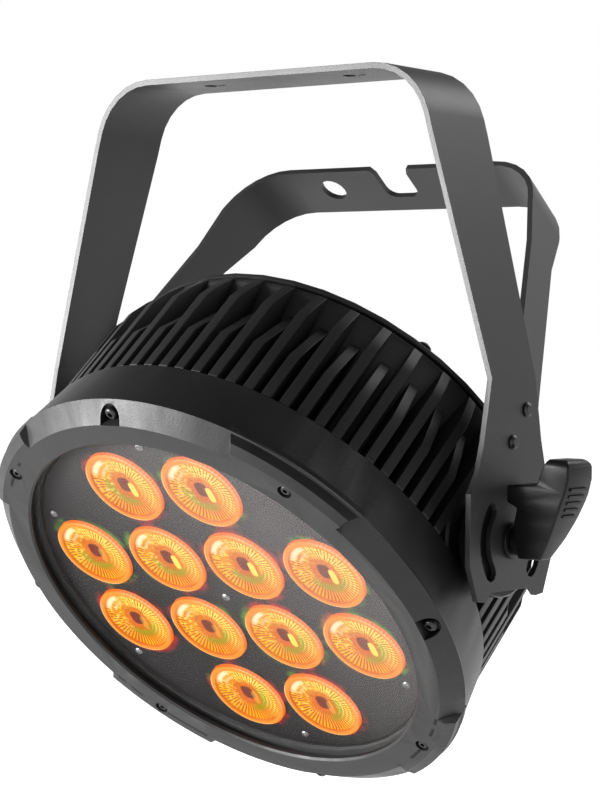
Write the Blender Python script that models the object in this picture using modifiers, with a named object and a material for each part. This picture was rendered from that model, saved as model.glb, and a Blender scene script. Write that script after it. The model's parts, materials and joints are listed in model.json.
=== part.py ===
"""Par can light: a compact twelve-lens stage light in a double yoke.

Frame: metres, +Z up, origin at the middle of the front yoke's bar, on its top face, where the
light hangs from a clamp. +X runs along the tilt axis, and the lens faces -Y and down.
The head is laid out in its own axes, on the empty "head_datum": +Z out along the beam,
z = 0 at the lens rims, +X along the tilt axis.
"""

import math

import bmesh
import bpy
from mathutils import Matrix, Vector

MM = 0.001

# ---- driving dimensions (millimetres and degrees) ----
GAP = 0.3  # clearance between pieces that touch
SHEET = 2.5  # yoke steel

# front yoke, from the tilt axis up
YOKE_RISE = 193.6  # tilt axis to the top face of the bar
YOKE_HALF_SPAN = 120.5  # tilt-axis plates, outer face
YOKE_BAR_CORNER = 84.7  # where the bar's and the arm's outer lines cross
YOKE_BEND_R = 29.7
YOKE_KINK = 65.4  # height of the bend between arm and plate
YOKE_BAR_WIDTH = 40.2
YOKE_NECK_WIDTH = 32.0
PLATE_HALF_WIDTH = 30.0
PLATE_DROP = 23.6
BAR_HOLE_R = 3.75
BAR_HOLE_X = 38.3
BAR_HOLE_FORWARD = 2.5
BAR_PILOT_R = 1.6
BAR_PILOT_STEP = 6.3

# guide slots round the tilt axis
SLOT_R = 19.1
SLOT_WIDTH = 7.1
SLOT_HALF_SPAN = 40.0

# rear yoke
REAR_LEAN = 37.75  # behind the front yoke
REAR_RISE = 174.1
REAR_BAR_CORNER = 80.2
REAR_BEND_R = 30.4
REAR_KINK = 53.0
REAR_BAR_LOW, REAR_BAR_HIGH = 8.4, 36.5  # band edges, ahead of the tilt axis
REAR_ARM_LOW, REAR_ARM_HIGH = 12.9, 33.6
REAR_TAPER_TOP, REAR_TAPER_END = 150.2, 130.3
REAR_TAB_END = 22.0
REAR_HOLE_R = 6.5
REAR_HOLE_X = 38.0
REAR_HOLE_FORWARD = 24.0
HOOK_HALF_WIDTH = 9.0
HOOK_END = 17.6  # ahead of the tilt axis
HOOK_CORNER_R = 5.0
YOKE_SCREW_HEAD_R = 3.1
REAR_SCREWS = ((31.1, 24.6), (47.5, 24.6))  # height and forward place of each yoke screw

# head
TILT = 40.6  # beam below horizontal at rest
PIVOT_BACK = 47.0  # tilt axis behind the lens rims
FINS = 84
FIN_WIDTH = 4.5
FIN_R = 108.4
FIN_FRONT = -26.0
LONG_FIN_END, SHORT_FIN_END = -71.4, -50.0
VALLEY_R = 92.0
REAR_Z = -90.0
REAR_RIM_R = 101.8
WALL_Z = -20.4  # front of the wall that carries the LED board
WALL_THICK = 5.6
POCKET_R = 93.0
RIM_R = 100.4
RIM_Z = -2.0
CAVITY_R = 86.0
BOSS_R = 20.5
BOSS_FACE = 103.0

# bezel
FACE_Z = 6.0
OPENING_R = 93.5
FACE_R = 104.2
CHAMFER_R = 112.6
CHAMFER_Z = -0.5
BLOCK_R = 111.5
BLOCK_Z = 4.1
BLOCK_FACE_R = 107.3
SKIRT_R = 108.8
SKIRT_Z = -25.6
BLOCK_SPAN = 28.4
POCKET_HALF = 5.2
POCKET_ARCH_R = 106.0
FLUSH = 0.1  # how far a joined block stays below the face beside it
LIP = 2.5
BEZEL_SCREW_R = 107.6
BEZEL_SCREW_DEPTH = 7.0
BEZEL_SCREW_HEAD_R = 3.0
FLAT_SCREW_R = 103.0

# optics
LENS_PITCH = 42.0
LENS_R = 19.0
LENS_DEPTH = 17.0
LENS_FOOT_R = 6.0
GLASS_THICK = 2.6
GLASS_Z = 0.6  # back face of the glass
GLASS_R = 98.0
LENS_PLATE_Z = -1.2
LENS_PLATE_THICK = 2.0
BOARD_THICK = 1.6

# rear cover and its fittings
COVER_THICK = 3.0
COVER_HUMP_R = 76.0
COVER_HUMP = 8.0
COVER_SCREW_R = 97.0
COVER_SCREW_ANGLE = 37.7
BUTTON_R = 4.0
BUTTON_STEP = 14.0
BUTTON_Y = 8.0
DISPLAY = (56.0, 20.0)
DISPLAY_Y = 32.0
DATA_X, DATA_Y = 40.0, -14.0
POWER_X, POWER_Y = 22.0, -50.0
SOCKET_R = 11.0
SOCKET_BORE_R = 8.4
POWER_R = 12.5
POWER_BORE_R = 9.6

# tilt hardware
DISC_R = 23.5  # friction disc between head and yoke
DISC_HUB_R = 15.0
DISC_THICK = 8.1
BOLT_R = 4.0
BOLT_IN = 88.0  # how far in the pivot bolt reaches, from the middle
PIN_R = 2.6
PIN_IN = 111.6  # inner end of the stop pin, in the friction disc
WASHER_R = 7.5
WASHER_THICK = 1.6
LEVER_LENGTH = 34.0
LEVER_WIDTH = 19.0
LEVER_OUT = 29.6
LEVER_FOOT = 6.8  # how far the arm reaches below the axis
RUN = 0.08  # running clearance on the pivot bolt

SEGMENTS = 24
MERGE = 0.00001  # metres, within which points are one
BLANK_HALF_WIDTH = 45.0  # of the sheet each yoke is cut from

PIVOT = Vector((0, 0, -YOKE_RISE)) * MM


# ---- scene, materials and mesh helpers ----
def clear_scene():
    for old in list(bpy.data.objects):
        bpy.data.objects.remove(old, do_unlink=True)


def collection(name):
    made = bpy.data.collections.new(name)
    bpy.context.scene.collection.children.link(made)
    return made


def finish(name, colour, roughness, metallic=0.0):
    """A Principled material."""
    made = bpy.data.materials.new(name)
    made.use_nodes = True
    shader = made.node_tree.nodes["Principled BSDF"]
    shader.inputs["Base Color"].default_value = (*colour, 1.0)
    shader.inputs["Roughness"].default_value = roughness
    shader.inputs["Metallic"].default_value = metallic
    return made


def empty(name, location=(0, 0, 0), rotation=(0, 0, 0), parent=None):
    made = bpy.data.objects.new(name, None)
    made.location = location
    made.rotation_euler = rotation
    made.parent = parent
    PARTS.objects.link(made)
    return made


def add_mesh(name, mesh, material, parent, target=None):
    made = bpy.data.objects.new(name, mesh)
    made.parent = parent
    if material:
        mesh.materials.append(material)
    (target or PARTS).objects.link(made)
    return made


def cutter(name, mesh, parent=None):
    """A helper that cuts or joins another piece and is never shown itself."""
    made = add_mesh(name, mesh, None, parent, CUTTERS)
    made.hide_render = True
    made.display_type = "WIRE"
    return made


def boolean(piece, other, operation="DIFFERENCE"):
    step = piece.modifiers.new(f"{operation.lower()} {other.name}", "BOOLEAN")
    step.operation = operation
    step.object = other
    step.solver = "EXACT"
    return step


def evaluated_mesh(helper):
    """The mesh that a curve or a modifier stack makes, its loose seams joined and the helper removed."""
    CUTTERS.objects.link(helper)
    bpy.context.view_layer.update()
    graph = bpy.context.evaluated_depsgraph_get()
    mesh = bpy.data.meshes.new_from_object(helper.evaluated_get(graph))
    mesh.name = helper.name
    bpy.data.objects.remove(helper)
    made = bmesh.new()
    made.from_mesh(mesh)
    bmesh.ops.remove_doubles(made, verts=made.verts, dist=MERGE)
    bmesh.ops.recalc_face_normals(made, faces=made.faces)
    made.to_mesh(mesh)
    made.free()
    return mesh


def turned_mesh(name, profile, segments=SEGMENTS):
    """A closed mesh: (radius, z) points in millimetres turned about Z, the outer side going down."""
    outline = bpy.data.meshes.new(name)
    steps = [(i, i + 1) for i in range(len(profile) - 1)]
    if profile[0][0] > 0:
        steps.append((len(profile) - 1, 0))
    outline.from_pydata([(r * MM, 0, z * MM) for r, z in profile], steps, [])
    helper = bpy.data.objects.new(name, outline)
    turn = helper.modifiers.new("turn", "SCREW")
    turn.axis = "Z"
    turn.steps = segments
    turn.render_steps = segments
    turn.use_merge_vertices = True
    turn.merge_threshold = MERGE
    return evaluated_mesh(helper)


def flat_mesh(name, outlines, thickness, low=0.0):
    """Outlines in the XY plane, the first outside and the rest holes, `thickness` thick from z = low."""
    curve = bpy.data.curves.new(name, "CURVE")
    curve.dimensions = "2D"
    curve.fill_mode = "BOTH"
    curve.extrude = thickness / 2 * MM
    for outline in outlines:
        spline = curve.splines.new("POLY")
        spline.points.add(len(outline) - 1)
        for point, (x, y) in zip(spline.points, outline):
            point.co = (x * MM, y * MM, 0, 1)
        spline.use_cyclic_u = True
    mesh = evaluated_mesh(bpy.data.objects.new(name, curve))
    mesh.transform(shift(0, 0, low + thickness / 2))
    return mesh


def moved(mesh, matrix):
    mesh.transform(matrix)
    if matrix.determinant() < 0:
        mesh.flip_normals()
    return mesh


def shift(x=0.0, y=0.0, z=0.0):
    return Matrix.Translation(Vector((x, y, z)) * MM)


def arc(centre, radius, start, end, steps):
    """Points along an arc, angles in radians."""
    return [
        (
            centre[0] + radius * math.cos(start + (end - start) * i / steps),
            centre[1] + radius * math.sin(start + (end - start) * i / steps),
        )
        for i in range(steps + 1)
    ]


def circle(centre, radius, segments=SEGMENTS):
    return arc(centre, radius, 0, 2 * math.pi * (1 - 1 / segments), segments - 1)


def rounded_box(width, height, radius, centre=(0.0, 0.0), steps=3):
    corners = ((1, 1, 0), (-1, 1, 1), (-1, -1, 2), (1, -1, 3))
    outline = []
    for sx, sy, quarter in corners:
        middle = (centre[0] + sx * (width / 2 - radius), centre[1] + sy * (height / 2 - radius))
        outline += arc(middle, radius, quarter * math.pi / 2, (quarter + 1) * math.pi / 2, steps)
    return outline


def smooth(piece, angle=35):
    piece.data.shade_smooth()
    piece.data.set_sharp_from_angle(angle=math.radians(angle))


def turned(name, profile, material, parent, place=None, segments=SEGMENTS):
    mesh = turned_mesh(name, profile, segments)
    if place is not None:
        moved(mesh, place)
    piece = add_mesh(name, mesh, material, parent)
    smooth(piece)
    return piece


# ---- yokes ----
def strap_path(rise, corner, bend_r, half_span, kink, low):
    """Outer line of half a yoke, from the middle of the bar to the end of the plate, as (x, height)."""
    arm = Vector((half_span - corner, kink - rise)).normalized()
    turn = math.acos(arm.x)
    reach = bend_r * math.tan(turn / 2)
    bend = arc((corner - reach, rise - bend_r), bend_r, math.pi / 2, math.pi / 2 - turn, 6)
    return [(0.0, rise)] + bend + [(half_span, kink), (half_span, low)]


def strap_mesh(name, half_path):
    """A bent strap as an open sheet, wide along Y."""
    path = [(-x, z) for x, z in reversed(half_path[1:])] + half_path
    curve = bpy.data.curves.new(name, "CURVE")
    curve.dimensions = "3D"
    curve.extrude = BLANK_HALF_WIDTH * MM
    spline = curve.splines.new("POLY")
    spline.points.add(len(path) - 1)
    for point, (x, z) in zip(spline.points, path):
        point.co = (x * MM, z * MM, 0, 1)
    mesh = evaluated_mesh(bpy.data.objects.new(name, curve))
    mesh.transform(Matrix.Rotation(math.pi / 2, 4, "X"))
    return mesh


SIDEWAYS = Matrix(((0, 0, 1, 0), (-1, 0, 0, 0), (0, 1, 0, 0), (0, 0, 0, 1)))


def side_cutter(name, outlines, parent):
    """(forward, height) outlines, extruded across the whole yoke along X."""
    wide = 2 * YOKE_HALF_SPAN + 40
    return cutter(name, moved(flat_mesh(name, outlines, wide, -wide / 2), SIDEWAYS), parent)


def arc_slot(middle):
    """A curved slot round the tilt axis, as (forward, height) points."""
    half = math.radians(SLOT_HALF_SPAN)
    outer = arc((0, 0), SLOT_R + SLOT_WIDTH / 2, middle - half, middle + half, 8)
    inner = arc((0, 0), SLOT_R - SLOT_WIDTH / 2, middle + half, middle - half, 8)
    ends = []
    for turn, flip in ((middle + half, 0), (middle - half, 1)):
        centre = (SLOT_R * math.cos(turn), SLOT_R * math.sin(turn))
        start = turn + flip * math.pi
        ends.append(arc(centre, SLOT_WIDTH / 2, start, start + math.pi, 4)[1:-1])
    return outer + ends[0] + inner + ends[1]


def front_yoke(steel):
    neck, bar, plate = YOKE_NECK_WIDTH / 2, YOKE_BAR_WIDTH / 2, PLATE_HALF_WIDTH
    half = [
        (bar, YOKE_RISE + 5),
        (bar, YOKE_RISE - YOKE_BEND_R),
        (neck, YOKE_KINK),
        (plate - 9.0, YOKE_KINK - 25.4),
        (plate - 5.5, 28.2),
        (plate, 20.0),
        (plate, -8.5),
        (plate - 6.0, -PLATE_DROP + 0.6),
        (plate - 11.5, -PLATE_DROP),
        (plate - 15.5, -PLATE_DROP + 3.6),
    ]
    outline = half + [(-w, z) for w, z in reversed(half)]
    slots = [arc_slot(0.0), arc_slot(math.pi)]
    bolt_hole = circle((0, 0), BOLT_R + RUN, 20)
    path = strap_path(
        YOKE_RISE, YOKE_BAR_CORNER, YOKE_BEND_R, YOKE_HALF_SPAN, YOKE_KINK, -PLATE_DROP - 5
    )
    yoke = add_mesh("front_yoke", strap_mesh("front_yoke", path), steel, PIVOT_AXIS)
    thicken(yoke)
    screws = [rear_point(height, forward) for height, forward in REAR_SCREWS]
    holes = [circle(spot, 2.3, 12) for spot in screws]
    flat_shape = side_cutter("front_outline", [outline, *slots, bolt_hole, *holes], PIVOT_AXIS)
    boolean(yoke, flat_shape, "INTERSECT")
    for side in (-1, 1):
        x = side * BAR_HOLE_X
        bores = ((x, BAR_HOLE_R), (x + BAR_PILOT_STEP, BAR_PILOT_R))
        for number, (place, radius) in enumerate(bores):
            bore = turned_mesh("bore", [(0, 8), (radius, 8), (radius, -8), (0, -8)], 16)
            moved(bore, shift(place, -BAR_HOLE_FORWARD, YOKE_RISE - SHEET / 2))
            boolean(yoke, cutter(f"bar_bore_{side}_{number}", bore, PIVOT_AXIS))
    return yoke


def rear_point(height, forward):
    """(forward, height) on the front yoke of a point given on the leaning rear yoke."""
    lean = math.radians(REAR_LEAN)
    return (
        forward * math.cos(lean) - height * math.sin(lean),
        forward * math.sin(lean) + height * math.cos(lean),
    )


def thicken(yoke):
    sheet = yoke.modifiers.new("sheet", "SOLIDIFY")
    sheet.thickness = SHEET * MM
    sheet.offset = -1
    sheet.use_even_offset = True


def rear_yoke(steel):
    end = REAR_TAB_END
    low, high = REAR_ARM_LOW, REAR_ARM_HIGH
    outline = [
        (REAR_BAR_HIGH, REAR_RISE + 5),
        (REAR_BAR_HIGH, REAR_TAPER_TOP),
        (high, REAR_TAPER_END),
        (high, end + 5),
        (high - 4, end),
        (low + 4, end),
        (low, end + 5),
        (low, REAR_TAPER_END),
        (REAR_BAR_LOW, REAR_TAPER_TOP),
        (REAR_BAR_LOW, REAR_RISE + 5),
    ]
    holes = [circle((forward, height), 2.3, 12) for height, forward in REAR_SCREWS]
    span = YOKE_HALF_SPAN - SHEET - GAP
    path = strap_path(REAR_RISE, REAR_BAR_CORNER, REAR_BEND_R, span, REAR_KINK, end - 5)
    lean = empty("rear_yoke_lean", rotation=(-math.radians(REAR_LEAN), 0, 0), parent=PIVOT_AXIS)
    yoke = add_mesh("rear_yoke", strap_mesh("rear_yoke", path), steel, lean)
    thicken(yoke)
    boolean(yoke, side_cutter("rear_outline", [outline, *holes], lean), "INTERSECT")
    for side in (-1, 1):
        spot = (side * REAR_HOLE_X, -REAR_HOLE_FORWARD)
        hole = flat_mesh("hole", [circle(spot, REAR_HOLE_R, 16)], 16, REAR_RISE - 8)
        boolean(yoke, cutter(f"rear_hole_{side}", hole, lean))
    hook = flat_mesh("hook", [hook_outline()], 16, REAR_RISE - 8)
    boolean(yoke, cutter("rear_hook", hook, lean))
    return yoke


def hook_outline():
    """The notch that hooks over a screw, open at the bar's front edge, where its mouth flares."""
    half, corner = HOOK_HALF_WIDTH, HOOK_CORNER_R
    mouth, end = -REAR_BAR_HIGH, -HOOK_END
    left = arc((corner - half, end - corner), corner, math.pi, math.pi / 2, 4)
    right = arc((half - corner, end - corner), corner, math.pi / 2, 0, 4)
    start = [(-half - 3.0, mouth - 4), (-half - 1.6, mouth), (-half, mouth + 3.5)]
    return start + left + right + [(half, mouth + 3.5), (half + 1.6, mouth), (half + 3.0, mouth - 4)]


def countersunk_screw(name, material, parent, place, head_r=4.0, head=1.8, shank_r=1.9, length=6.0):
    """A screw along +Z: its head's underside at z = 0."""
    profile = [
        (0, head),
        (head_r * 0.6, head),
        (head_r, head * 0.35),
        (head_r, 0),
        (shank_r, 0),
        (shank_r, -length),
        (0, -length),
    ]
    return turned(name, profile, material, parent, place, 10)


def yoke_screws(steel):
    """Two screws a side hold the rear yoke's tabs behind the front yoke's plates."""
    for side, word in ((-1, "left"), (1, "right")):
        for number, (height, forward) in enumerate(REAR_SCREWS):
            w, z = rear_point(height, forward)
            turn = Matrix.Rotation(side * math.pi / 2, 4, "Y")
            place = shift(side * (YOKE_HALF_SPAN + GAP), -w, z) @ turn
            level = ("lower", "upper")[number]
            name = f"yoke_screw_{word}_{level}"
            countersunk_screw(name, steel, PIVOT_AXIS, place, YOKE_SCREW_HEAD_R, 1.4, 1.9, 6.0)


# ---- head casting ----
def casting_core():
    """The casting's solid outer shape, with a corner of its outline under every other fin."""
    profile = [
        (0, RIM_Z),
        (RIM_R, RIM_Z),
        (RIM_R, FIN_FRONT - 1.5),
        (VALLEY_R, FIN_FRONT - 4.0),
        (VALLEY_R, -54.0),
        (VALLEY_R + 5.5, -78.0),
        (REAR_RIM_R, -87.0),
        (REAR_RIM_R, REAR_Z),
        (0, REAR_Z),
    ]
    return turned_mesh("casting", profile, FINS // 2)


def hollow_casting(body):
    """Cuts the lens pocket in front of the wall, and the electronics bay behind it."""
    pocket = [(0, 8), (POCKET_R, 8), (POCKET_R, WALL_Z), (0, WALL_Z)]
    boolean(body, cutter("lens_pocket", turned_mesh("pocket", pocket, 32), HEAD))
    inside = WALL_Z - WALL_THICK
    bay = [(0, inside), (CAVITY_R, inside), (CAVITY_R, REAR_Z - 8), (0, REAR_Z - 8)]
    boolean(body, cutter("electronics_bay", turned_mesh("bay", bay, 32), HEAD))


def fin_outline(straight_end, tip):
    root = VALLEY_R - 3.0
    return [(root, FIN_FRONT - 3.0), (FIN_R, FIN_FRONT), (FIN_R, straight_end), tip, (root, tip[1] + 0.8)]


def fins_mesh():
    """Every fin, long and short in turn, as one mesh of separate blades."""
    long_fin = fin_outline(LONG_FIN_END, (REAR_RIM_R + 0.8, -89.0))
    short_fin = fin_outline(SHORT_FIN_END, (VALLEY_R + 4.5, -79.0))
    blades = bmesh.new()
    upright = Matrix(((1, 0, 0, 0), (0, 0, -1, 0), (0, 1, 0, 0), (0, 0, 0, 1)))
    for number in range(FINS):
        outline = long_fin if number % 2 else short_fin
        blade = flat_mesh("blade", [outline], FIN_WIDTH, -FIN_WIDTH / 2)
        turn = Matrix.Rotation(2 * math.pi * number / FINS, 4, "Z")
        moved(blade, turn @ upright)
        blades.from_mesh(blade)
        bpy.data.meshes.remove(blade)
    mesh = bpy.data.meshes.new("fins")
    blades.to_mesh(mesh)
    blades.free()
    return mesh


def along_x(side, x, y=0.0, z=-PIVOT_BACK):
    """A place whose +Z points out of the head's side."""
    return shift(side * x, y, z) @ Matrix.Rotation(side * math.pi / 2, 4, "Y")


def body_casting(paint):
    body = add_mesh("body_casting", casting_core(), paint, HEAD)
    boolean(body, cutter("fins", fins_mesh(), HEAD), "UNION")
    hollow_casting(body)
    for side in (-1, 1):
        face = turned_mesh("face", [(0, 12), (BOSS_R + 1, 12), (BOSS_R + 1, -1), (0, -1)], 24)
        boolean(body, cutter(f"spot_face_{side}", moved(face, along_x(side, BOSS_FACE)), HEAD))
        reach = CAVITY_R - 8.0
        boss = turned_mesh("boss", [(0, BOSS_FACE), (BOSS_R, BOSS_FACE), (BOSS_R, reach), (0, reach)], 24)
        boolean(body, cutter(f"boss_{side}", moved(boss, along_x(side, 0)), HEAD), "UNION")
        bottom = BOLT_IN - BOSS_FACE - GAP
        bore = [(0, 8), (BOLT_R + GAP, 8), (BOLT_R + GAP, bottom), (0, bottom)]
        bore_mesh = turned_mesh("bore", bore, 16)
        boolean(body, cutter(f"bolt_bore_{side}", moved(bore_mesh, along_x(side, BOSS_FACE)), HEAD))
    for step in body.modifiers:
        step.solver = "MANIFOLD"  # the many thin fins are more than EXACT closes
    return body


def stop_pin_spot():
    """Head (y, z) of a stop pin in the middle of the plate's rear guide slot."""
    tilt = math.radians(TILT)
    return (-SLOT_R * math.sin(tilt), -PIVOT_BACK - SLOT_R * math.cos(tilt))


# ---- bezel, glass and optics ----
def pocket_outline():
    """The arched pocket of a bezel screw: straight along the face's edge, round outside."""
    arch = arc((POCKET_ARCH_R, 0), POCKET_HALF, math.pi / 2, -math.pi / 2, 8)
    return [(FACE_R - 0.2, -POCKET_HALF), (FACE_R - 0.2, POCKET_HALF)] + arch


def bezel_ring(paint):
    profile = [
        (OPENING_R, FACE_Z),
        (FACE_R, FACE_Z),
        (CHAMFER_R, CHAMFER_Z),
        (SKIRT_R, SKIRT_Z),
        (RIM_R + 0.4, SKIRT_Z),
        (RIM_R + 0.4, FACE_Z - LIP),
        (OPENING_R, FACE_Z - LIP),
    ]
    ring = add_mesh("bezel_ring", turned_mesh("bezel_ring", profile, 56), paint, HEAD)
    low, top = CHAMFER_Z - 3.0, FACE_Z - FLUSH
    inside = FACE_R - 2.0
    rim = [(inside, top), (BLOCK_FACE_R, top), (BLOCK_R, BLOCK_Z), (BLOCK_R, low), (inside, low)]
    half = math.radians(BLOCK_SPAN / 2)
    for quarter in range(4):
        middle = math.pi / 2 * quarter + math.pi / 4
        block = add_mesh(f"block_{quarter}", turned_mesh("block", rim, 56), paint, HEAD)
        sector = [(0, 0)] + arc((0, 0), BLOCK_R + 20.0, middle - half, middle + half, 4)
        wedge = flat_mesh("sector", [sector], top + 2.0 - low, low - 1.0)
        boolean(block, cutter(f"sector_{quarter}", wedge, HEAD), "INTERSECT")
        boolean(ring, cutter(f"raised_{quarter}", evaluated_mesh(block), HEAD), "UNION")
    for number in range(8):
        turn = math.pi / 4 * number
        if number % 2 == 0:
            well = flat_mesh("pocket", [pocket_outline()], 18.0, FACE_Z - BEZEL_SCREW_DEPTH)
        else:
            floor = FACE_Z - 3.0
            well = turned_mesh("well", [(0, 12), (4.0, 12), (4.0, floor), (0, floor)], 16)
            moved(well, shift(FLAT_SCREW_R, 0))
        moved(well, Matrix.Rotation(turn, 4, "Z"))
        boolean(ring, cutter(f"screw_well_{number}", well, HEAD))
    for step in ring.modifiers:
        step.solver = "MANIFOLD"  # the blocks share facet planes with the ring, which EXACT leaves open
    return ring


def bezel_screws(steel):
    for number, word in enumerate(("right", "top", "left", "bottom")):
        turn = math.pi / 2 * number
        x, y = BEZEL_SCREW_R * math.cos(turn), BEZEL_SCREW_R * math.sin(turn)
        spot = shift(x, y, FACE_Z - BEZEL_SCREW_DEPTH + GAP)
        rim = BEZEL_SCREW_HEAD_R
        head = [(0, 3.0), (rim - 1.2, 3.0), (rim, 1.6), (rim, 0), (0, 0)]
        turned(f"bezel_screw_{word}", head, steel, HEAD, spot, 12)


def front_glass(glass):
    low, high = GLASS_Z, GLASS_Z + GLASS_THICK
    profile = [(0, high), (GLASS_R - 0.8, high), (GLASS_R, high - 0.8), (GLASS_R, low), (0, low)]
    return turned("front_glass", profile, glass, HEAD, None, 48)


def glass_gasket(rubber):
    inner, outer = POCKET_R + 0.6, RIM_R - 1.0
    high, low = GLASS_Z - GAP, RIM_Z + GAP
    profile = [(inner, high), (outer, high), (outer, low), (inner, low)]
    return turned("glass_gasket", profile, rubber, HEAD, None, 36)


def lens_spots():
    """Twelve places on a four-by-four grid without its corners, row by row from the top."""
    for row in range(4):
        for column in range(4):
            if (row in (0, 3)) and (column in (0, 3)):
                continue
            yield ((column - 1.5) * LENS_PITCH, (1.5 - row) * LENS_PITCH)


def lenses(acrylic):
    foot = LENS_DEPTH - 1.0
    profile = [
        (0, 0),
        (LENS_R, 0),
        (LENS_R, -LENS_PLATE_THICK - 0.8),
        (LENS_FOOT_R, -foot),
        (LENS_FOOT_R - 2.0, -foot),
        (0, -foot + 4.0),
    ]
    for number, (x, y) in enumerate(lens_spots(), 1):
        turned(f"lens_{number:02d}", profile, acrylic, HEAD, shift(x, y), 14)


def lens_plate(plastic):
    holes = [circle(spot, LENS_R + GAP, 14) for spot in lens_spots()]
    outline = circle((0, 0), POCKET_R - 1.2, 32)
    mesh = flat_mesh("lens_plate", [outline, *holes], LENS_PLATE_THICK, LENS_PLATE_Z - LENS_PLATE_THICK)
    return add_mesh("lens_plate", mesh, plastic, HEAD)


def led_board(board):
    outline = circle((0, 0), POCKET_R - 1.5, 32)
    mesh = flat_mesh("led_board", [outline], BOARD_THICK, WALL_Z + GAP)
    return add_mesh("led_board", mesh, board, HEAD)


# ---- rear cover, its fittings and the electronics ----
COVER_TOP = REAR_Z - GAP - 1.0  # front face of the cover, behind the gasket
HUMP_BACK = COVER_TOP - COVER_THICK - COVER_HUMP


def rear_gasket(rubber):
    inner, outer = REAR_RIM_R - 6.5, REAR_RIM_R - 3.0
    high, low = REAR_Z - GAP, COVER_TOP + GAP
    profile = [(inner, high), (outer, high), (outer, low), (inner, low)]
    return turned("rear_gasket", profile, rubber, HEAD, None, 36)


def rear_cover(paint):
    hump = COVER_HUMP_R
    back = COVER_TOP - COVER_THICK
    profile = [
        (0, COVER_TOP - COVER_HUMP),
        (hump - 4.0, COVER_TOP - COVER_HUMP),
        (hump - 1.5, COVER_TOP),
        (REAR_RIM_R, COVER_TOP),
        (REAR_RIM_R, back + 1.0),
        (REAR_RIM_R - 1.0, back),
        (hump + 2.0, back),
        (hump - 1.0, HUMP_BACK),
        (0, HUMP_BACK),
    ]
    cover = add_mesh("rear_cover", turned_mesh("rear_cover", profile, 44), paint, HEAD)
    openings = [rounded_box(DISPLAY[0], DISPLAY[1], 2.0, (0, DISPLAY_Y))]
    openings += [circle((x, BUTTON_Y), BUTTON_R + GAP, 16) for x in button_places()]
    for side in (-1, 1):
        openings.append(circle((side * DATA_X, DATA_Y), SOCKET_R + GAP, 16))
        openings.append(circle((side * POWER_X, POWER_Y), POWER_R + GAP, 16))
        for x, y in cover_screw_spots():
            if x * side > 0:
                openings.append(circle((x, y), 2.3, 10))
    for number, outline in enumerate(openings):
        mesh = flat_mesh("opening", [outline], 40, HUMP_BACK - 10)
        boolean(cover, cutter(f"cover_opening_{number}", mesh, HEAD))
    return cover


def cover_screw_spots():
    turn = math.radians(COVER_SCREW_ANGLE)
    for sx in (-1, 1):
        for sy in (-1, 1):
            yield (sx * COVER_SCREW_R * math.cos(turn), sy * COVER_SCREW_R * math.sin(turn))


def cover_screws(steel):
    back = COVER_TOP - COVER_THICK
    flip = Matrix.Rotation(math.pi, 4, "X")
    for number, (x, y) in enumerate(cover_screw_spots(), 1):
        place = shift(x, y, back - GAP) @ flip
        countersunk_screw(f"cover_screw_{number}", steel, HEAD, place, 4.0, 2.6, 1.9, 3.4)


def button_places():
    return [(number - 1.5) * BUTTON_STEP for number in range(4)]


def menu_buttons(plastic):
    """Caps that travel forward into the cover, each on its own slide."""
    inside = COVER_TOP - COVER_HUMP
    out = 1.8
    for number, x in enumerate(button_places(), 1):
        profile = [
            (0, inside + 1.6),
            (BUTTON_R + 1.2, inside + 1.6),
            (BUTTON_R + 1.2, inside + 0.5),
            (BUTTON_R, inside + 0.5),
            (BUTTON_R, HUMP_BACK - out + 0.6),
            (BUTTON_R - 0.8, HUMP_BACK - out),
            (0, HUMP_BACK - out),
        ]
        turned(f"menu_button_{number}", profile, plastic, HEAD, shift(x, BUTTON_Y), 16)


def display_window(glass):
    width, height = DISPLAY
    mesh = flat_mesh(
        "display_window", [rounded_box(width - 2 * GAP, height - 2 * GAP, 1.8, (0, DISPLAY_Y))],
        COVER_THICK, HUMP_BACK + 0.5,
    )
    return add_mesh("display_window", mesh, glass, HEAD)


def socket(name, material, spot, radius, bore_r, depth):
    """A round panel socket: a flanged cup, open to the rear, with contact pins on its floor."""
    behind = HUMP_BACK - GAP
    inside = HUMP_BACK + depth
    profile = [
        (0, inside),
        (radius, inside),
        (radius, behind),
        (radius + 3.0, behind),
        (radius + 3.0, behind - 2.2),
        (radius + 2.2, behind - 3.0),
        (bore_r, behind - 3.0),
        (bore_r, inside - 2.0),
        (0, inside - 2.0),
    ]
    return turned(name, profile, material, HEAD, shift(*spot), 16)


def sockets(plastic, blue, white):
    socket("power_inlet", blue, (-POWER_X, POWER_Y), POWER_R, POWER_BORE_R, 20.0)
    socket("power_outlet", white, (POWER_X, POWER_Y), POWER_R, POWER_BORE_R, 20.0)
    socket("data_input", plastic, (-DATA_X, DATA_Y), SOCKET_R, SOCKET_BORE_R, 18.0)
    socket("data_output", plastic, (DATA_X, DATA_Y), SOCKET_R, SOCKET_BORE_R, 18.0)


def fuse_cap(plastic):
    back = HUMP_BACK - GAP
    profile = [(0, back), (6.0, back), (6.0, back - 3.5), (5.0, back - 5.0), (0, back - 5.0)]
    return turned("fuse_cap", profile, plastic, HEAD, shift(0, -22.0), 16)


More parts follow.
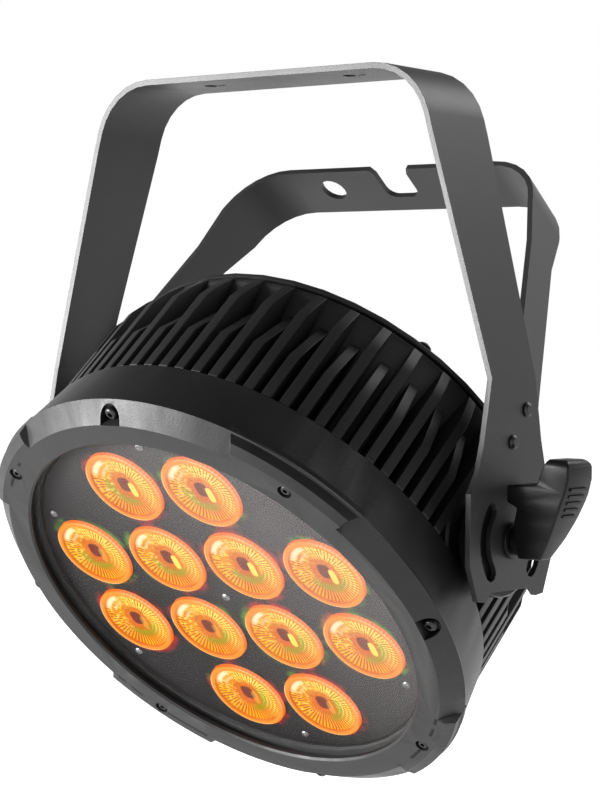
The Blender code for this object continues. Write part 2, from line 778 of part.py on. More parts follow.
def safety_loop(steel):
    """A wire staple on a plate for the safety cable, on the cover near its upper edge."""
    foot = rounded_box(26.0, 9.0, 2.0, (0, 86.0))
    base = flat_mesh("safety_loop", [foot], 2.0, COVER_TOP - COVER_THICK - 2.0 - GAP)
    loop = add_mesh("safety_loop", base, steel, HEAD)
    wire, half, rise = 1.9, 8.0, 9.0
    floor = COVER_TOP - COVER_THICK - GAP
    spine = [(-half, floor - 0.8)] + arc((0, floor - rise + half * 0.6), half, math.pi, 2 * math.pi, 8)
    spine += [(half, floor - 0.8)]
    curve = bpy.data.curves.new("staple", "CURVE")
    curve.dimensions = "3D"
    curve.bevel_depth = wire * MM
    curve.bevel_resolution = 2
    curve.use_fill_caps = True
    spline = curve.splines.new("POLY")
    spline.points.add(len(spine) - 1)
    for point, (x, z) in zip(spline.points, spine):
        point.co = (x * MM, 86.0 * MM, z * MM, 1)
    mesh = evaluated_mesh(bpy.data.objects.new("staple", curve))
    boolean(loop, cutter("staple", mesh, HEAD), "UNION")
    return loop


def electronics(board, metal):
    """The power supply behind the front wall, and the control board behind the display."""
    wall = WALL_Z - WALL_THICK - GAP
    supply = flat_mesh("power_supply", [rounded_box(96.0, 54.0, 2.0, (0, 8.0))], 30.0, wall - 30.0)
    add_mesh("power_supply", supply, metal, HEAD)
    front = COVER_TOP - COVER_HUMP + 4.0
    control = flat_mesh("control_board", [rounded_box(78.0, 42.0, 2.0, (0, 21.0))], 1.6, front)
    add_mesh("control_board", control, board, HEAD)


# ---- tilt hardware ----
def tilt_hardware(steel, plastic):
    plate_inside = YOKE_HALF_SPAN - SHEET - GAP
    disc_face = plate_inside - DISC_THICK
    y, z = stop_pin_spot()
    for side, word in ((-1, "left"), (1, "right")):
        bore_r = BOLT_R + RUN + 0.2
        disc = [
            (bore_r, plate_inside),
            (DISC_R - 1.0, plate_inside),
            (DISC_R, plate_inside - 1.0),
            (DISC_R, disc_face + 1.0),
            (DISC_R - 1.0, disc_face),
            (DISC_HUB_R, disc_face),
            (DISC_HUB_R, BOSS_FACE + GAP),
            (bore_r, BOSS_FACE + GAP),
        ]
        spacer = turned(f"friction_disc_{word}", disc, plastic, HEAD, along_x(side, 0), 24)
        pin_hole = [(0, 12), (PIN_R + GAP, 12), (PIN_R + GAP, -GAP), (0, -GAP)]
        hole = moved(turned_mesh("pin_hole", pin_hole, 10), along_x(side, PIN_IN, y, z))
        boolean(spacer, cutter(f"disc_pin_hole_{side}", hole, HEAD))
        outer = YOKE_HALF_SPAN + GAP + WASHER_THICK
        washer = [
            (bore_r, outer),
            (WASHER_R, outer),
            (WASHER_R, outer - WASHER_THICK),
            (bore_r, outer - WASHER_THICK),
        ]
        turned(f"knob_washer_{word}", washer, steel, HEAD, along_x(side, 0), 16)
        end = outer + 9.0
        bolt = [(0, end), (BOLT_R - 0.6, end), (BOLT_R, end - 0.6), (BOLT_R, BOLT_IN), (0, BOLT_IN)]
        turned(f"pivot_bolt_{word}", bolt, steel, HEAD, along_x(side, 0), 20)
        pin = [(0, YOKE_HALF_SPAN - 0.4), (PIN_R, YOKE_HALF_SPAN - 0.4), (PIN_R, PIN_IN), (0, PIN_IN)]
        turned(f"tilt_stop_pin_{word}", pin, steel, HEAD, along_x(side, 0, y, z), 10)
    return outer


def clamp_lever(name, material, side, base):
    """A lever that screws down on the pivot bolt: a round hub, and an arm that rises and leans outward."""
    handle = empty(f"{name}_axis", parent=PIVOT_AXIS)
    inner, hub_top, out = base + GAP, base + 14.0, base + LEVER_OUT
    half = LEVER_WIDTH / 2
    side_view = [
        (inner + 3.0, -LEVER_FOOT),
        (hub_top, -LEVER_FOOT),
        (out - 5.6, 12.0),
        (out, LEVER_LENGTH - 8.6),
        (out - 0.5, LEVER_LENGTH - 3.2),
        (out - 3.5, LEVER_LENGTH),
        (out - 10.5, LEVER_LENGTH),
        (hub_top + 1.0, 23.6),
        (inner + 1.0, 23.0),
        (inner + 1.0, 16.0),
        (inner + 5.5, 14.0),
        (inner + 3.0, 6.0),
    ]
    upright = Matrix(((1, 0, 0, 0), (0, 0, 1, 0), (0, 1, 0, 0), (0, 0, 0, 1)))
    arm = flat_mesh(name, [side_view], LEVER_WIDTH, -half)
    moved(arm, Matrix.Scale(side, 4, (1, 0, 0)) @ upright)
    lever = add_mesh(name, arm, material, handle)
    collar = turned_mesh("collar", [(0, hub_top), (5.8, hub_top), (5.8, inner), (0, inner)], 24)
    moved(collar, Matrix.Rotation(side * math.pi / 2, 4, "Y"))
    boolean(lever, cutter(f"{name}_collar", collar, handle), "UNION")
    bore = [(0, base + 9.6), (BOLT_R + RUN, base + 9.6), (BOLT_R + RUN, base - 1), (0, base - 1)]
    bore_mesh = moved(turned_mesh("bore", bore, 20), Matrix.Rotation(side * math.pi / 2, 4, "Y"))
    boolean(lever, cutter(f"{name}_bore", bore_mesh, handle))
    return lever


def build():
    black_steel = finish("black_powder_coat", (0.035, 0.035, 0.036), 0.45, 0.1)
    casting_paint = finish("casting_paint", (0.03, 0.03, 0.031), 0.5, 0.1)
    bezel_paint = finish("bezel_paint", (0.045, 0.045, 0.046), 0.42, 0.1)
    black_plastic = finish("black_plastic", (0.02, 0.02, 0.02), 0.4)
    rubber = finish("black_rubber", (0.02, 0.02, 0.02), 0.8)
    zinc = finish("black_zinc", (0.08, 0.08, 0.085), 0.35, 0.8)
    acrylic = finish("amber_acrylic", (0.95, 0.45, 0.08), 0.15)
    clear = finish("clear_glass", (0.8, 0.85, 0.85), 0.05)
    plate_black = finish("lens_plate_black", (0.05, 0.05, 0.052), 0.55)
    board_green = finish("circuit_board", (0.02, 0.12, 0.06), 0.5)
    sheet_metal = finish("supply_case", (0.6, 0.6, 0.6), 0.4, 0.9)
    inlet_blue = finish("inlet_blue", (0.03, 0.12, 0.45), 0.4)
    outlet_grey = finish("outlet_grey", (0.55, 0.55, 0.55), 0.4)

    front_yoke(black_steel)
    rear_yoke(black_steel)
    yoke_screws(zinc)
    body_casting(casting_paint)
    bezel_ring(bezel_paint)
    bezel_screws(zinc)
    front_glass(clear)
    glass_gasket(rubber)
    lenses(acrylic)
    lens_plate(plate_black)
    led_board(board_green)
    rear_gasket(rubber)
    rear_cover(casting_paint)
    cover_screws(zinc)
    menu_buttons(black_plastic)
    display_window(clear)
    sockets(black_plastic, inlet_blue, outlet_grey)
    fuse_cap(black_plastic)
    safety_loop(zinc)
    electronics(board_green, sheet_metal)
    base = tilt_hardware(zinc, black_plastic)
    clamp_lever("clamp_lever_left", black_plastic, -1, base)
    clamp_lever("clamp_lever_right", black_plastic, 1, base)


clear_scene()
PARTS = collection("par_can_light")
CUTTERS = collection("cutters")
PIVOT_AXIS = empty("tilt_axis", PIVOT)
TILT_ARM = empty("head_tilt", rotation=(math.pi / 2 + math.radians(TILT), 0, 0), parent=PIVOT_AXIS)
HEAD = empty("head_datum", (0, 0, PIVOT_BACK * MM), parent=TILT_ARM)
build()
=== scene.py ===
"""A compact par can light with twelve lit lenses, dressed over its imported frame.

The head is built in its own axes: z runs out along the beam with z = 0 at the lens rims, x runs
along the tilt axis and y up across the face. HEAD_PLACE puts those axes into the row frame.
Sizes are in millimetres until a mesh is placed.
"""

import json
import logging
import math
from dataclasses import dataclass, field
from enum import Enum
from typing import Any, Callable, Iterable, Sequence
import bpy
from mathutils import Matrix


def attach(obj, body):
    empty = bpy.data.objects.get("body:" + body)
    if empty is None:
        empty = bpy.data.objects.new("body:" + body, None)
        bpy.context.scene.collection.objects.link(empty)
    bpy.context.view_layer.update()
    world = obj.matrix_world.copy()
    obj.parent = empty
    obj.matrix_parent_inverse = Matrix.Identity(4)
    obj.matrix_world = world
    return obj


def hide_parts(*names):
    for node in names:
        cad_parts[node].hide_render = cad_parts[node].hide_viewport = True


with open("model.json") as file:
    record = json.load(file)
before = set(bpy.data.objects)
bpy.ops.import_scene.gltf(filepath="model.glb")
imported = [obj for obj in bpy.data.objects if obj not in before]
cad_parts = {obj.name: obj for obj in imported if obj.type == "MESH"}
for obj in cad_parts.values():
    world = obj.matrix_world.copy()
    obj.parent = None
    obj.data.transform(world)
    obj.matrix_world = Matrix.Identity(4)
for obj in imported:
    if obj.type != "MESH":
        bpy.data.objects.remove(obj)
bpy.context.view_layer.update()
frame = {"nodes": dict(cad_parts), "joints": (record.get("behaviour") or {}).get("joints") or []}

import bpy
from mathutils import Matrix, Vector

LOG = logging.getLogger("par_can_light")
MM = 0.001
Point = tuple[float, float]
Point3 = tuple[float, float, float]

BEAM_BELOW_LEVEL = math.radians(40.6)
PIVOT_BACK = 47.0
PIVOT = Vector(next(j["pos_m"] for j in frame["joints"] if j["name"] == "head_tilt"))
BEAM = Vector((0, -math.cos(BEAM_BELOW_LEVEL), -math.sin(BEAM_BELOW_LEVEL)))
ACROSS = Vector((0, -math.sin(BEAM_BELOW_LEVEL), math.cos(BEAM_BELOW_LEVEL)))
HEAD_PLACE = Matrix.Translation(PIVOT + BEAM * PIVOT_BACK * MM) @ Matrix(
    ((1, 0, 0, 0), (0, ACROSS.y, BEAM.y, 0), (0, ACROSS.z, BEAM.z, 0), (0, 0, 0, 1))
)


class Body(Enum):
    """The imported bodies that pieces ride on."""

    YOKE = "yoke"
    HEAD = "lamp_head"
    LEFT_LEVER = "lever_left"
    RIGHT_LEVER = "lever_right"


class Side(Enum):
    """The two ends of the tilt axis."""

    LEFT = -1
    RIGHT = 1

    @property
    def word(self) -> str:
        """The name used in node names."""
        return self.name.lower()


# ---- shader maths ----
class Field:
    """A shader socket that can be used in arithmetic, each step adding its Math node."""

    def __init__(self, shader: "Shader", socket: Any) -> None:
        """Wraps a socket.

        Args:
            shader: the node tree's writer.
            socket: the output socket.
        """
        self.shader = shader
        self.socket = socket

    def _maths(self, operation: str, *values: Any) -> "Field":
        """One Math node over values or fields."""
        return self.shader.node("ShaderNodeMath", {"operation": operation}, dict(enumerate(values)))

    def __add__(self, other: Any) -> "Field":
        """Sum."""
        return self._maths("ADD", self, other)

    def __radd__(self, other: Any) -> "Field":
        """Sum, other way round."""
        return self._maths("ADD", other, self)

    def __sub__(self, other: Any) -> "Field":
        """Difference."""
        return self._maths("SUBTRACT", self, other)

    def __rsub__(self, other: Any) -> "Field":
        """Difference, other way round."""
        return self._maths("SUBTRACT", other, self)

    def __mul__(self, other: Any) -> "Field":
        """Product."""
        return self._maths("MULTIPLY", self, other)

    def __rmul__(self, other: Any) -> "Field":
        """Product, other way round."""
        return self._maths("MULTIPLY", other, self)

    def __truediv__(self, other: Any) -> "Field":
        """Quotient."""
        return self._maths("DIVIDE", self, other)

    def __pow__(self, other: Any) -> "Field":
        """Power."""
        return self._maths("POWER", self, other)

    def sine(self) -> "Field":
        """Sine of an angle in radians."""
        return self._maths("SINE", self)

    def ramp(self, low: float, high: float) -> "Field":
        """A smooth step between two values.

        Args:
            low: where the result is 0.
            high: where the result is 1.

        Returns:
            The 0 to 1 field.
        """
        return self.shader.node(
            "ShaderNodeMapRange",
            {"interpolation_type": "SMOOTHSTEP"},
            {"Value": self, "From Min": low, "From Max": high},
        )


class Shader:
    """Writes one material's node tree."""

    def __init__(self, name: str) -> None:
        """Starts a material.

        Args:
            name: the material's name.
        """
        self.material = bpy.data.materials.new(name)
        self.material.use_nodes = True
        self.tree = self.material.node_tree
        self.surface = self.tree.nodes["Principled BSDF"]

    def node(
        self, kind: str, settings: dict | None = None, inputs: dict | None = None, output: Any = 0
    ) -> Field:
        """Adds a node.

        Args:
            kind: the node's type.
            settings: its attributes, set first.
            inputs: socket name or index to a value or a field.
            output: the output socket's name or index.

        Returns:
            The output as a field.
        """
        made = self.tree.nodes.new(kind)
        for key, value in (settings or {}).items():
            setattr(made, key, value)
        for key, value in (inputs or {}).items():
            self.feed(made.inputs[key], value)
        return Field(self, made.outputs[output])

    def feed(self, socket: Any, value: Any) -> None:
        """Links a field to a socket, or sets its value.

        Args:
            socket: the input socket.
            value: a field, or a plain value.
        """
        if isinstance(value, Field):
            self.tree.links.new(value.socket, socket)
        else:
            socket.default_value = value

    def set(self, **values: Any) -> None:
        """Sets or links the surface's sockets, named with underscores for spaces."""
        for key, value in values.items():
            self.feed(self.surface.inputs[key.replace("_", " ")], value)

    def place(self) -> Field:
        """Object coordinates."""
        return self.node("ShaderNodeTexCoord", output="Object")

    def noise(
        self, scale: float, detail: float = 2.0, roughness: float = 0.5, at: Field | None = None
    ) -> Field:
        """A noise field from 0 to 1.

        Args:
            scale: cells per metre.
            detail: octaves.
            roughness: how strong the fine octaves are.
            at: coordinates, or the object's own.

        Returns:
            The noise.
        """
        inputs = {"Vector": at or self.place(), "Scale": scale, "Detail": detail, "Roughness": roughness}
        return self.node("ShaderNodeTexNoise", inputs=inputs)

    def mix(self, share: Any, first: Any, second: Any) -> Field:
        """Blends two colours.

        Args:
            share: how much of the second.
            first: colour or field.
            second: colour or field.

        Returns:
            The colour field.
        """
        made = self.tree.nodes.new("ShaderNodeMix")
        made.data_type = "RGBA"
        self.feed(made.inputs[0], share)
        for index, colour in ((6, first), (7, second)):
            self.feed(made.inputs[index], colour if isinstance(colour, Field) else (*colour, 1.0))
        return Field(self, made.outputs[2])

    def bump(self, height: Field, distance: float, strength: float = 1.0) -> None:
        """Feeds the surface's normal from a height field.

        Args:
            height: the relief's field.
            distance: its full height in metres.
            strength: how much of it shows.
        """
        self.set(
            Normal=self.node(
                "ShaderNodeBump", inputs={"Height": height, "Distance": distance, "Strength": strength}
            )
        )


# ---- finishes ----
@dataclass(frozen=True)
class PowderCoat:
    """Baked black powder over metal: fine orange peel, faint dusty patches and handling marks."""

    name: str
    colour: tuple[float, float, float]
    roughness: float = 0.42
    grain: float = 1400.0
    relief: float = 0.00005
    dust_and_painted_reflection: float = 0.35
    shine: float = 0.5

    def material(self) -> bpy.types.Material:
        """Makes the material."""
        s = Shader(self.name)
        peel = s.noise(self.grain, 3.0, 0.55)
        cloud = s.noise(22.0, 4.0, 0.6)
        fleck = s.noise(2600.0, 1.0).ramp(0.66, 0.74)
        light = tuple(min(1.0, c * 1.6 + 0.006) for c in self.colour)
        dusty = s.mix(cloud.ramp(0.42, 0.72) * self.dust_and_painted_reflection, self.colour, light)
        s.set(Base_Color=s.mix(fleck * 0.5, dusty, tuple(c * 2.2 + 0.02 for c in self.colour)))
        s.set(Roughness=self.roughness - 0.08 + cloud * 0.16 + peel * 0.08)
        s.surface.inputs["Specular IOR Level"].default_value = self.shine
        s.bump(peel + fleck * 0.4, self.relief)
        return s.material


@dataclass(frozen=True)
class Moulded:
    """Moulded plastic or rubber with a faint skin texture and rubbed patches."""

    name: str
    colour: tuple[float, float, float]
    roughness: float = 0.4
    grain: float = 900.0
    relief: float = 0.00002
    coat: float = 0.0
    shine: float = 0.5

    def material(self) -> bpy.types.Material:
        """Makes the material."""
        s = Shader(self.name)
        skin = s.noise(self.grain, 2.0)
        rub = s.noise(45.0, 5.0, 0.65)
        worn = tuple(c * 1.5 + 0.004 for c in self.colour)
        s.set(Base_Color=s.mix(rub.ramp(0.45, 0.75) * 0.5, self.colour, worn))
        s.set(Roughness=self.roughness - 0.06 + rub * 0.14 + skin * 0.05)
        s.surface.inputs["Coat Weight"].default_value = self.coat
        s.surface.inputs["Specular IOR Level"].default_value = self.shine
        s.bump(skin, self.relief)
        return s.material


@dataclass(frozen=True)
class Plated:
    """Plated or bare metal with fine brushing and stains."""

    name: str
    colour: tuple[float, float, float]
    roughness: float = 0.3

    def material(self) -> bpy.types.Material:
        """Makes the material."""
        s = Shader(self.name)
        stain = s.noise(120.0, 4.0, 0.6)
        hair = s.noise(3000.0, 2.0)
        s.set(Base_Color=s.mix(stain.ramp(0.4, 0.8), self.colour, tuple(c * 0.6 for c in self.colour)))
        s.set(Metallic=0.9, Roughness=self.roughness + stain * 0.15 + hair * 0.06)
        s.bump(hair, 0.00001)
        return s.material


@dataclass(frozen=True)
class ClearGlass:
    """A clear pane with a soft reflection, and a painted reflection: a grey film that thickens towards one
    side.
    """

    name: str = "front_glass_clear"
    # how strong the painted reflection film on the pane is
    dust_and_painted_reflection: float = 0.075
    reflection_side: Vector = field(default_factory=lambda: Vector((0.815, 0.58 * ACROSS.y, 0.58 * ACROSS.z)))

    def material(self) -> bpy.types.Material:
        """Makes the material."""
        s = Shader(self.name)
        smear = s.noise(30.0, 4.0, 0.6)
        centre = self.reflection_side.dot(PIVOT)
        ends = {0: s.place(), 1: self.reflection_side}
        reach = s.node("ShaderNodeVectorMath", {"operation": "DOT_PRODUCT"}, ends, "Value")
        # painted reflection: the grey film's alpha grows towards reflection_side, standing in for reflected
        # light
        painted_reflection_film = (reach - centre).ramp(-0.05, 0.09)
        s.set(Base_Color=(0.34, 0.32, 0.32, 1.0), Roughness=0.04 + smear * 0.06)
        s.set(Alpha=0.008 + painted_reflection_film * self.dust_and_painted_reflection + smear.ramp(0.5, 0.9) * 0.012)
        return s.material


@dataclass(frozen=True)
class LitLens:
    """Clear acrylic over a lit amber source: radial flutes, a pale lip and a darker well, with painted
    highlights: a beaded glint round the edge and a pale glare streak.

    The mesh's UV map holds the lens's own x and y as shares of its radius, about the middle (0.5, 0.5).
    """

    name: str
    seed: float
    bar: float
    flutes: int = 54
    glow: float = 1.0
    bead_side: float = math.radians(35)
    glare_side: float = math.radians(132)

    @staticmethod
    def towards(x: Field, y: Field, angle: float) -> Field:
        """How far a point lies in one direction, from -1 to 1.

        Args:
            x: the first coordinate.
            y: the second coordinate.
            angle: the direction, in radians.

        Returns:
            The share of the radius.
        """
        return x * math.cos(angle) + y * math.sin(angle)

    def material(self) -> bpy.types.Material:
        """Makes the material."""
        s = Shader(self.name)
        uv = s.node("ShaderNodeUVMap", {"uv_map": "lens"})
        parts = s.tree.nodes.new("ShaderNodeSeparateXYZ")
        s.tree.links.new(uv.socket, parts.inputs[0])
        x = (Field(s, parts.outputs[0]) - 0.5) * 2.0
        y = (Field(s, parts.outputs[1]) - 0.5) * 2.0
        reach = (x * x + y * y) ** 0.5
        turn = s.node("ShaderNodeMath", {"operation": "ARCTAN2"}, {0: y, 1: x})
        flute = (turn * float(self.flutes)).sine() * 0.5 + 0.5
        ring = (reach * 62.0).sine() * 0.5 + 0.5
        step = (self.seed, self.seed * 0.7, 0)
        where = s.node("ShaderNodeVectorMath", {"operation": "ADD"}, {0: uv, 1: step})
        patch = s.noise(3.2, 3.0, 0.6, where)
        upper = self.towards(x, y, self.bead_side)
        lower = self.towards(x, y, math.radians(292))
        colour = s.mix(patch.ramp(0.38, 0.62), (0.80, 0.17, 0.0), (0.95, 0.33, 0.0))
        colour = s.mix(lower.ramp(-0.15, 0.5) * reach.ramp(0.85, 0.4) * 0.9, colour, (0.80, 0.055, 0.0))
        colour = s.mix(upper.ramp(-0.1, 0.6) * 0.75, colour, (0.98, 0.48, 0.0))
        inner = reach.ramp(0.22, 0.34) * reach.ramp(0.86, 0.80)
        colour = s.mix(flute.ramp(0.4, 0.9) * inner * 0.62, colour, (1.0, 0.52, 0.0))
        colour = s.mix(flute.ramp(0.45, 0.05) * inner * 0.85, colour, (0.42, 0.045, 0.0))
        side = self.towards(x, y, math.radians(215) + self.seed * 0.13)
        green = side.ramp(0.05, 0.35) * reach.ramp(0.66, 0.46) * reach.ramp(0.18, 0.32)
        colour = s.mix(green * 0.75, colour, (0.24, 0.30, 0.0))
        bead = (flute * ring).ramp(0.22, 0.5)
        beads = bead * reach.ramp(0.34, 0.5) * reach.ramp(0.9, 0.84) * upper.ramp(-0.15, 0.4)
        colour = s.mix(beads, colour, (1.0, 0.82, 0.16))
        speck = s.noise(22.0, 2.0, 0.5, where).ramp(0.52, 0.6) * inner * lower.ramp(0.5, -0.2)
        colour = s.mix(speck * 0.7, colour, (1.0, 0.74, 0.12))
        lip = reach.ramp(0.855, 0.885)
        colour = s.mix(reach.ramp(0.82, 0.85) * reach.ramp(0.895, 0.87) * 0.7, colour, (0.62, 0.10, 0.0))
        colour = s.mix(lip * 0.92, colour, (0.95, 0.27, 0.012))
        # painted highlight: a pale beaded glint round the rim's lip, strongest to the lower left and on the
        # upper side
        painted_rim_glint = reach.ramp(0.935, 0.965) * ((turn * 60.0).sine() * 0.35 + 0.65)
        edge = self.towards(x, y, math.radians(215)).ramp(0.1, 0.7) + upper.ramp(0.45, 0.9) * 0.5
        colour = s.mix(painted_rim_glint * edge, colour, (1.0, 0.88, 0.50))
        red = reach.ramp(0.97, 0.995) * 0.6
        colour = s.mix(red, colour, (0.85, 0.08, 0.01))
        halo = self.spot(s, x, y, (0.0, 0.02), (0.34, 0.40), 0.45)
        colour = s.mix(halo * 0.7, colour, (0.62, 0.10, 0.0))
        well = self.spot(s, x, y, (0.0, 0.03), (0.17, 0.21), 0.28)
        colour = s.mix(well * 0.92, colour, (0.13, 0.008, 0.0))
        bar = self.spot(s, x, y, (0.17, -0.12), (0.09, 0.21), 0.35)
        colour = s.mix(bar * self.bar, colour, (1.0, 0.70, 0.09))
        # painted highlight: a pale double glare streak towards glare_side, painted into the emission colour
        glare_spread = (self.towards(x, y, self.glare_side) / reach).ramp(0.88, 0.985)
        painted_glare_ring = reach.ramp(0.66, 0.74) * reach.ramp(0.87, 0.79)
        second = reach.ramp(0.52, 0.57) * reach.ramp(0.64, 0.59) * 0.4
        colour = s.mix(glare_spread * (painted_glare_ring + second) * 0.9, colour, (1.0, 0.84, 0.52))
        s.set(Base_Color=s.mix(0.92, colour, (0, 0, 0)), Roughness=0.12 + ring * 0.08)
        s.set(Emission_Color=colour)
        s.surface.inputs["Emission Strength"].default_value = self.glow
        s.surface.inputs["Specular IOR Level"].default_value = 0.05
        s.bump(flute * reach.ramp(0.2, 0.4) * reach.ramp(0.88, 0.84) + ring * 0.3, 0.0002)
        return s.material

    @staticmethod
    def spot(s: Shader, x: Field, y: Field, centre: Point, half: Point, soft: float) -> Field:
        """A soft-edged rounded rectangle.

        Args:
            s: the material's writer.
            x: the first coordinate.
            y: the second coordinate.
            centre: its middle.
            half: its half sizes.
            soft: how much of its size the edge fades over.

        Returns:
            1 inside and 0 outside.
        """
        across = ((x - centre[0]) * (x - centre[0]) * (1.0 / half[0] ** 2)) ** 1.5
        along = ((y - centre[1]) * (y - centre[1]) * (1.0 / half[1] ** 2)) ** 1.5
        return (across + along).ramp(1.0 + soft, 1.0 - soft)


@dataclass(frozen=True)
class PlateWithPaintedSpill:
    """The matt plate between the lenses, with painted light: a faint red and green glow of spilled lens
    light round each hole, painted as emission.

    The mesh's UV map holds the head's x and y over the lens pitch.
    """

    name: str = "lens_plate_matt"
    colour: tuple[float, float, float] = (0.0085, 0.008, 0.008)
    hole: float = 19.3 / 42.0

    def material(self) -> bpy.types.Material:
        """Makes the material."""
        s = Shader(self.name)
        uv = s.node("ShaderNodeUVMap", {"uv_map": "head"})
        parts = s.tree.nodes.new("ShaderNodeSeparateXYZ")
        s.tree.links.new(uv.socket, parts.inputs[0])
        x, y = Field(s, parts.outputs[0]), Field(s, parts.outputs[1])
        u = s.node("ShaderNodeMath", {"operation": "FRACT"}, {0: x + 10.0}) - 0.5
        v = s.node("ShaderNodeMath", {"operation": "FRACT"}, {0: y + 10.0}) - 0.5
        reach = (u * u + v * v) ** 0.5
        corner = (x * x).ramp(0.96, 1.04) * (y * y).ramp(0.96, 1.04)
        outside = 1.0 - (x * x).ramp(3.7, 4.0)
        beyond = 1.0 - (y * y).ramp(3.7, 4.0)
        # painted light: near each hole the plate glows red and green as if lit by the lenses, fed to
        # Emission_Color below
        spill_ring = reach.ramp(self.hole + 0.10, self.hole - 0.005) * (1.0 - corner) * outside * beyond
        blotch = s.noise(2.3, 3.0, 0.6, uv)
        fine = s.noise(1800.0, 2.0)
        cloud = s.noise(16.0, 3.0)
        spill_hue = s.mix(s.noise(0.8, 1.0, 0.5, uv).ramp(0.5, 0.58), (0.55, 0.01, 0.005), (0.10, 0.30, 0.005))
        lit = spill_ring * spill_ring * blotch.ramp(0.44, 0.66)
        base = s.mix(cloud.ramp(0.35, 0.7), self.colour, tuple(c * 1.35 for c in self.colour))
        s.set(Base_Color=base, Roughness=0.5 + fine * 0.1, Emission_Color=s.mix(lit, (0, 0, 0), spill_hue))
        s.surface.inputs["Emission Strength"].default_value = 1.0
        s.surface.inputs["Specular IOR Level"].default_value = 0.07
        s.bump(fine, 0.0000012)
        return s.material


# ---- bench: the modelling moves that pieces share ----
class Bench:
    """Modelling moves with Blender's own operators, each leaving one mesh object."""

    @staticmethod
    def only(piece: bpy.types.Object) -> None:
        """Selects one object and makes it active."""
        if bpy.context.mode != "OBJECT":
            bpy.ops.object.mode_set(mode="OBJECT")
        bpy.ops.object.select_all(action="DESELECT")
        piece.select_set(True)
        bpy.context.view_layer.objects.active = piece

    @staticmethod
    def edit(piece: bpy.types.Object, moves: Callable[[], None]) -> None:
        """Runs edit-mode operators on a piece with everything selected.

        Args:
            piece: the object.
            moves: what to do in edit mode.
        """
        Bench.only(piece)
        bpy.ops.object.mode_set(mode="EDIT")
        bpy.ops.mesh.select_all(action="SELECT")
        moves()
        bpy.ops.object.mode_set(mode="OBJECT")

    @staticmethod
    def apply(piece: bpy.types.Object, kind: str, **settings: Any) -> None:
        """Adds a modifier with settings and applies it.

        Args:
            piece: the object.
            kind: the modifier's type.
            settings: its attributes.
        """
        Bench.only(piece)
        step = piece.modifiers.new(kind.lower(), kind)
        for key, value in settings.items():
            setattr(step, key, value)
        bpy.ops.object.modifier_apply(modifier=step.name)

    @staticmethod
    def tidy(piece: bpy.types.Object) -> None:
        """Merges doubles and points every face outwards."""

        def moves() -> None:
            """The edit-mode operators."""
            bpy.ops.mesh.remove_doubles(threshold=1e-6)
            bpy.ops.mesh.normals_make_consistent(inside=False)

        Bench.edit(piece, moves)

    @staticmethod
    def turned(name: str, profile: Sequence[Point], steps: int = 64) -> bpy.types.Object:
        """Turns a (radius, z) profile about z.

        Args:
            name: the piece's name.
            profile: points down its outer side, in millimetres.
            steps: facets round the turn.

        Returns:
            The piece.
        """
        mesh = bpy.data.meshes.new(name)
        edges = [(i, i + 1) for i in range(len(profile) - 1)]
        if profile[0][0] > 0:
            edges.append((len(profile) - 1, 0))
        mesh.from_pydata([(r * MM, 0, z * MM) for r, z in profile], edges, [])
        piece = bpy.data.objects.new(name, mesh)
        bpy.context.scene.collection.objects.link(piece)
        Bench.apply(
            piece,
            "SCREW",
            axis="Z",
            steps=steps,
            render_steps=steps,
            use_merge_vertices=True,
            merge_threshold=1e-5,
        )
        Bench.tidy(piece)
        return piece

    @staticmethod
    def cut_sheet(
        name: str, outlines: Sequence[Sequence[Point]], thick: float, low: float = 0.0
    ) -> bpy.types.Object:
        """A flat outline with holes, given a thickness.

        Args:
            name: the piece's name.
            outlines: the outside and then the holes, in millimetres.
            thick: thickness.
            low: z of its lower face.

        Returns:
            The piece.
        """
        curve = bpy.data.curves.new(name, "CURVE")
        curve.dimensions = "2D"
        curve.fill_mode = "BOTH"
        curve.extrude = thick / 2 * MM
        for outline in outlines:
            spline = curve.splines.new("POLY")
            spline.points.add(len(outline) - 1)
            for point, (x, y) in zip(spline.points, outline):
                point.co = (x * MM, y * MM, 0, 1)
            spline.use_cyclic_u = True
        piece = bpy.data.objects.new(name, curve)
        bpy.context.scene.collection.objects.link(piece)
        Bench.only(piece)
        bpy.ops.object.convert(target="MESH")
        piece = bpy.context.view_layer.objects.active
        piece.data.transform(Matrix.Translation((0, 0, (low + thick / 2) * MM)))
        Bench.tidy(piece)
        return piece

    @staticmethod
    def combine(piece: bpy.types.Object, tool: bpy.types.Object, operation: str = "DIFFERENCE") -> None:
        """Cuts with, or joins on, another piece, which is used up.

        Args:
            piece: the object kept.
            tool: the object used.
            operation: DIFFERENCE or UNION.
        """
        Bench.apply(piece, "BOOLEAN", operation=operation, object=tool, solver="EXACT")
        bpy.data.objects.remove(tool)

    @staticmethod
    def join(name: str, pieces: Sequence[bpy.types.Object]) -> bpy.types.Object:
        """Joins several objects as one mesh.

        Args:
            name: the joined piece's name.
            pieces: the objects.

        Returns:
            The joined piece.
        """
        Bench.only(pieces[0])
        for piece in pieces:
            piece.select_set(True)
        bpy.ops.object.join()
        pieces[0].name = name
        return pieces[0]

    @staticmethod
    def soften(piece: bpy.types.Object, width: float, segments: int = 2, angle: float = 30.0) -> None:
        """Rounds the sharp edges and shades the rest smooth.

        Args:
            piece: the object.
            width: bevel width in millimetres, or 0 for none.
            segments: facets across the bevel.
            angle: edges sharper than this are bevelled.
        """
        if width:
            Bench.apply(
                piece,
                "BEVEL",
                width=width * MM,
                segments=segments,
                limit_method="ANGLE",
                angle_limit=math.radians(angle),
                use_clamp_overlap=True,
                miter_outer="MITER_ARC",
            )
        Bench.only(piece)
        bpy.ops.object.shade_smooth_by_angle(angle=math.radians(34))
        Bench.apply(piece, "WEIGHTED_NORMAL", keep_sharp=True, mode="FACE_AREA_WITH_ANGLE")

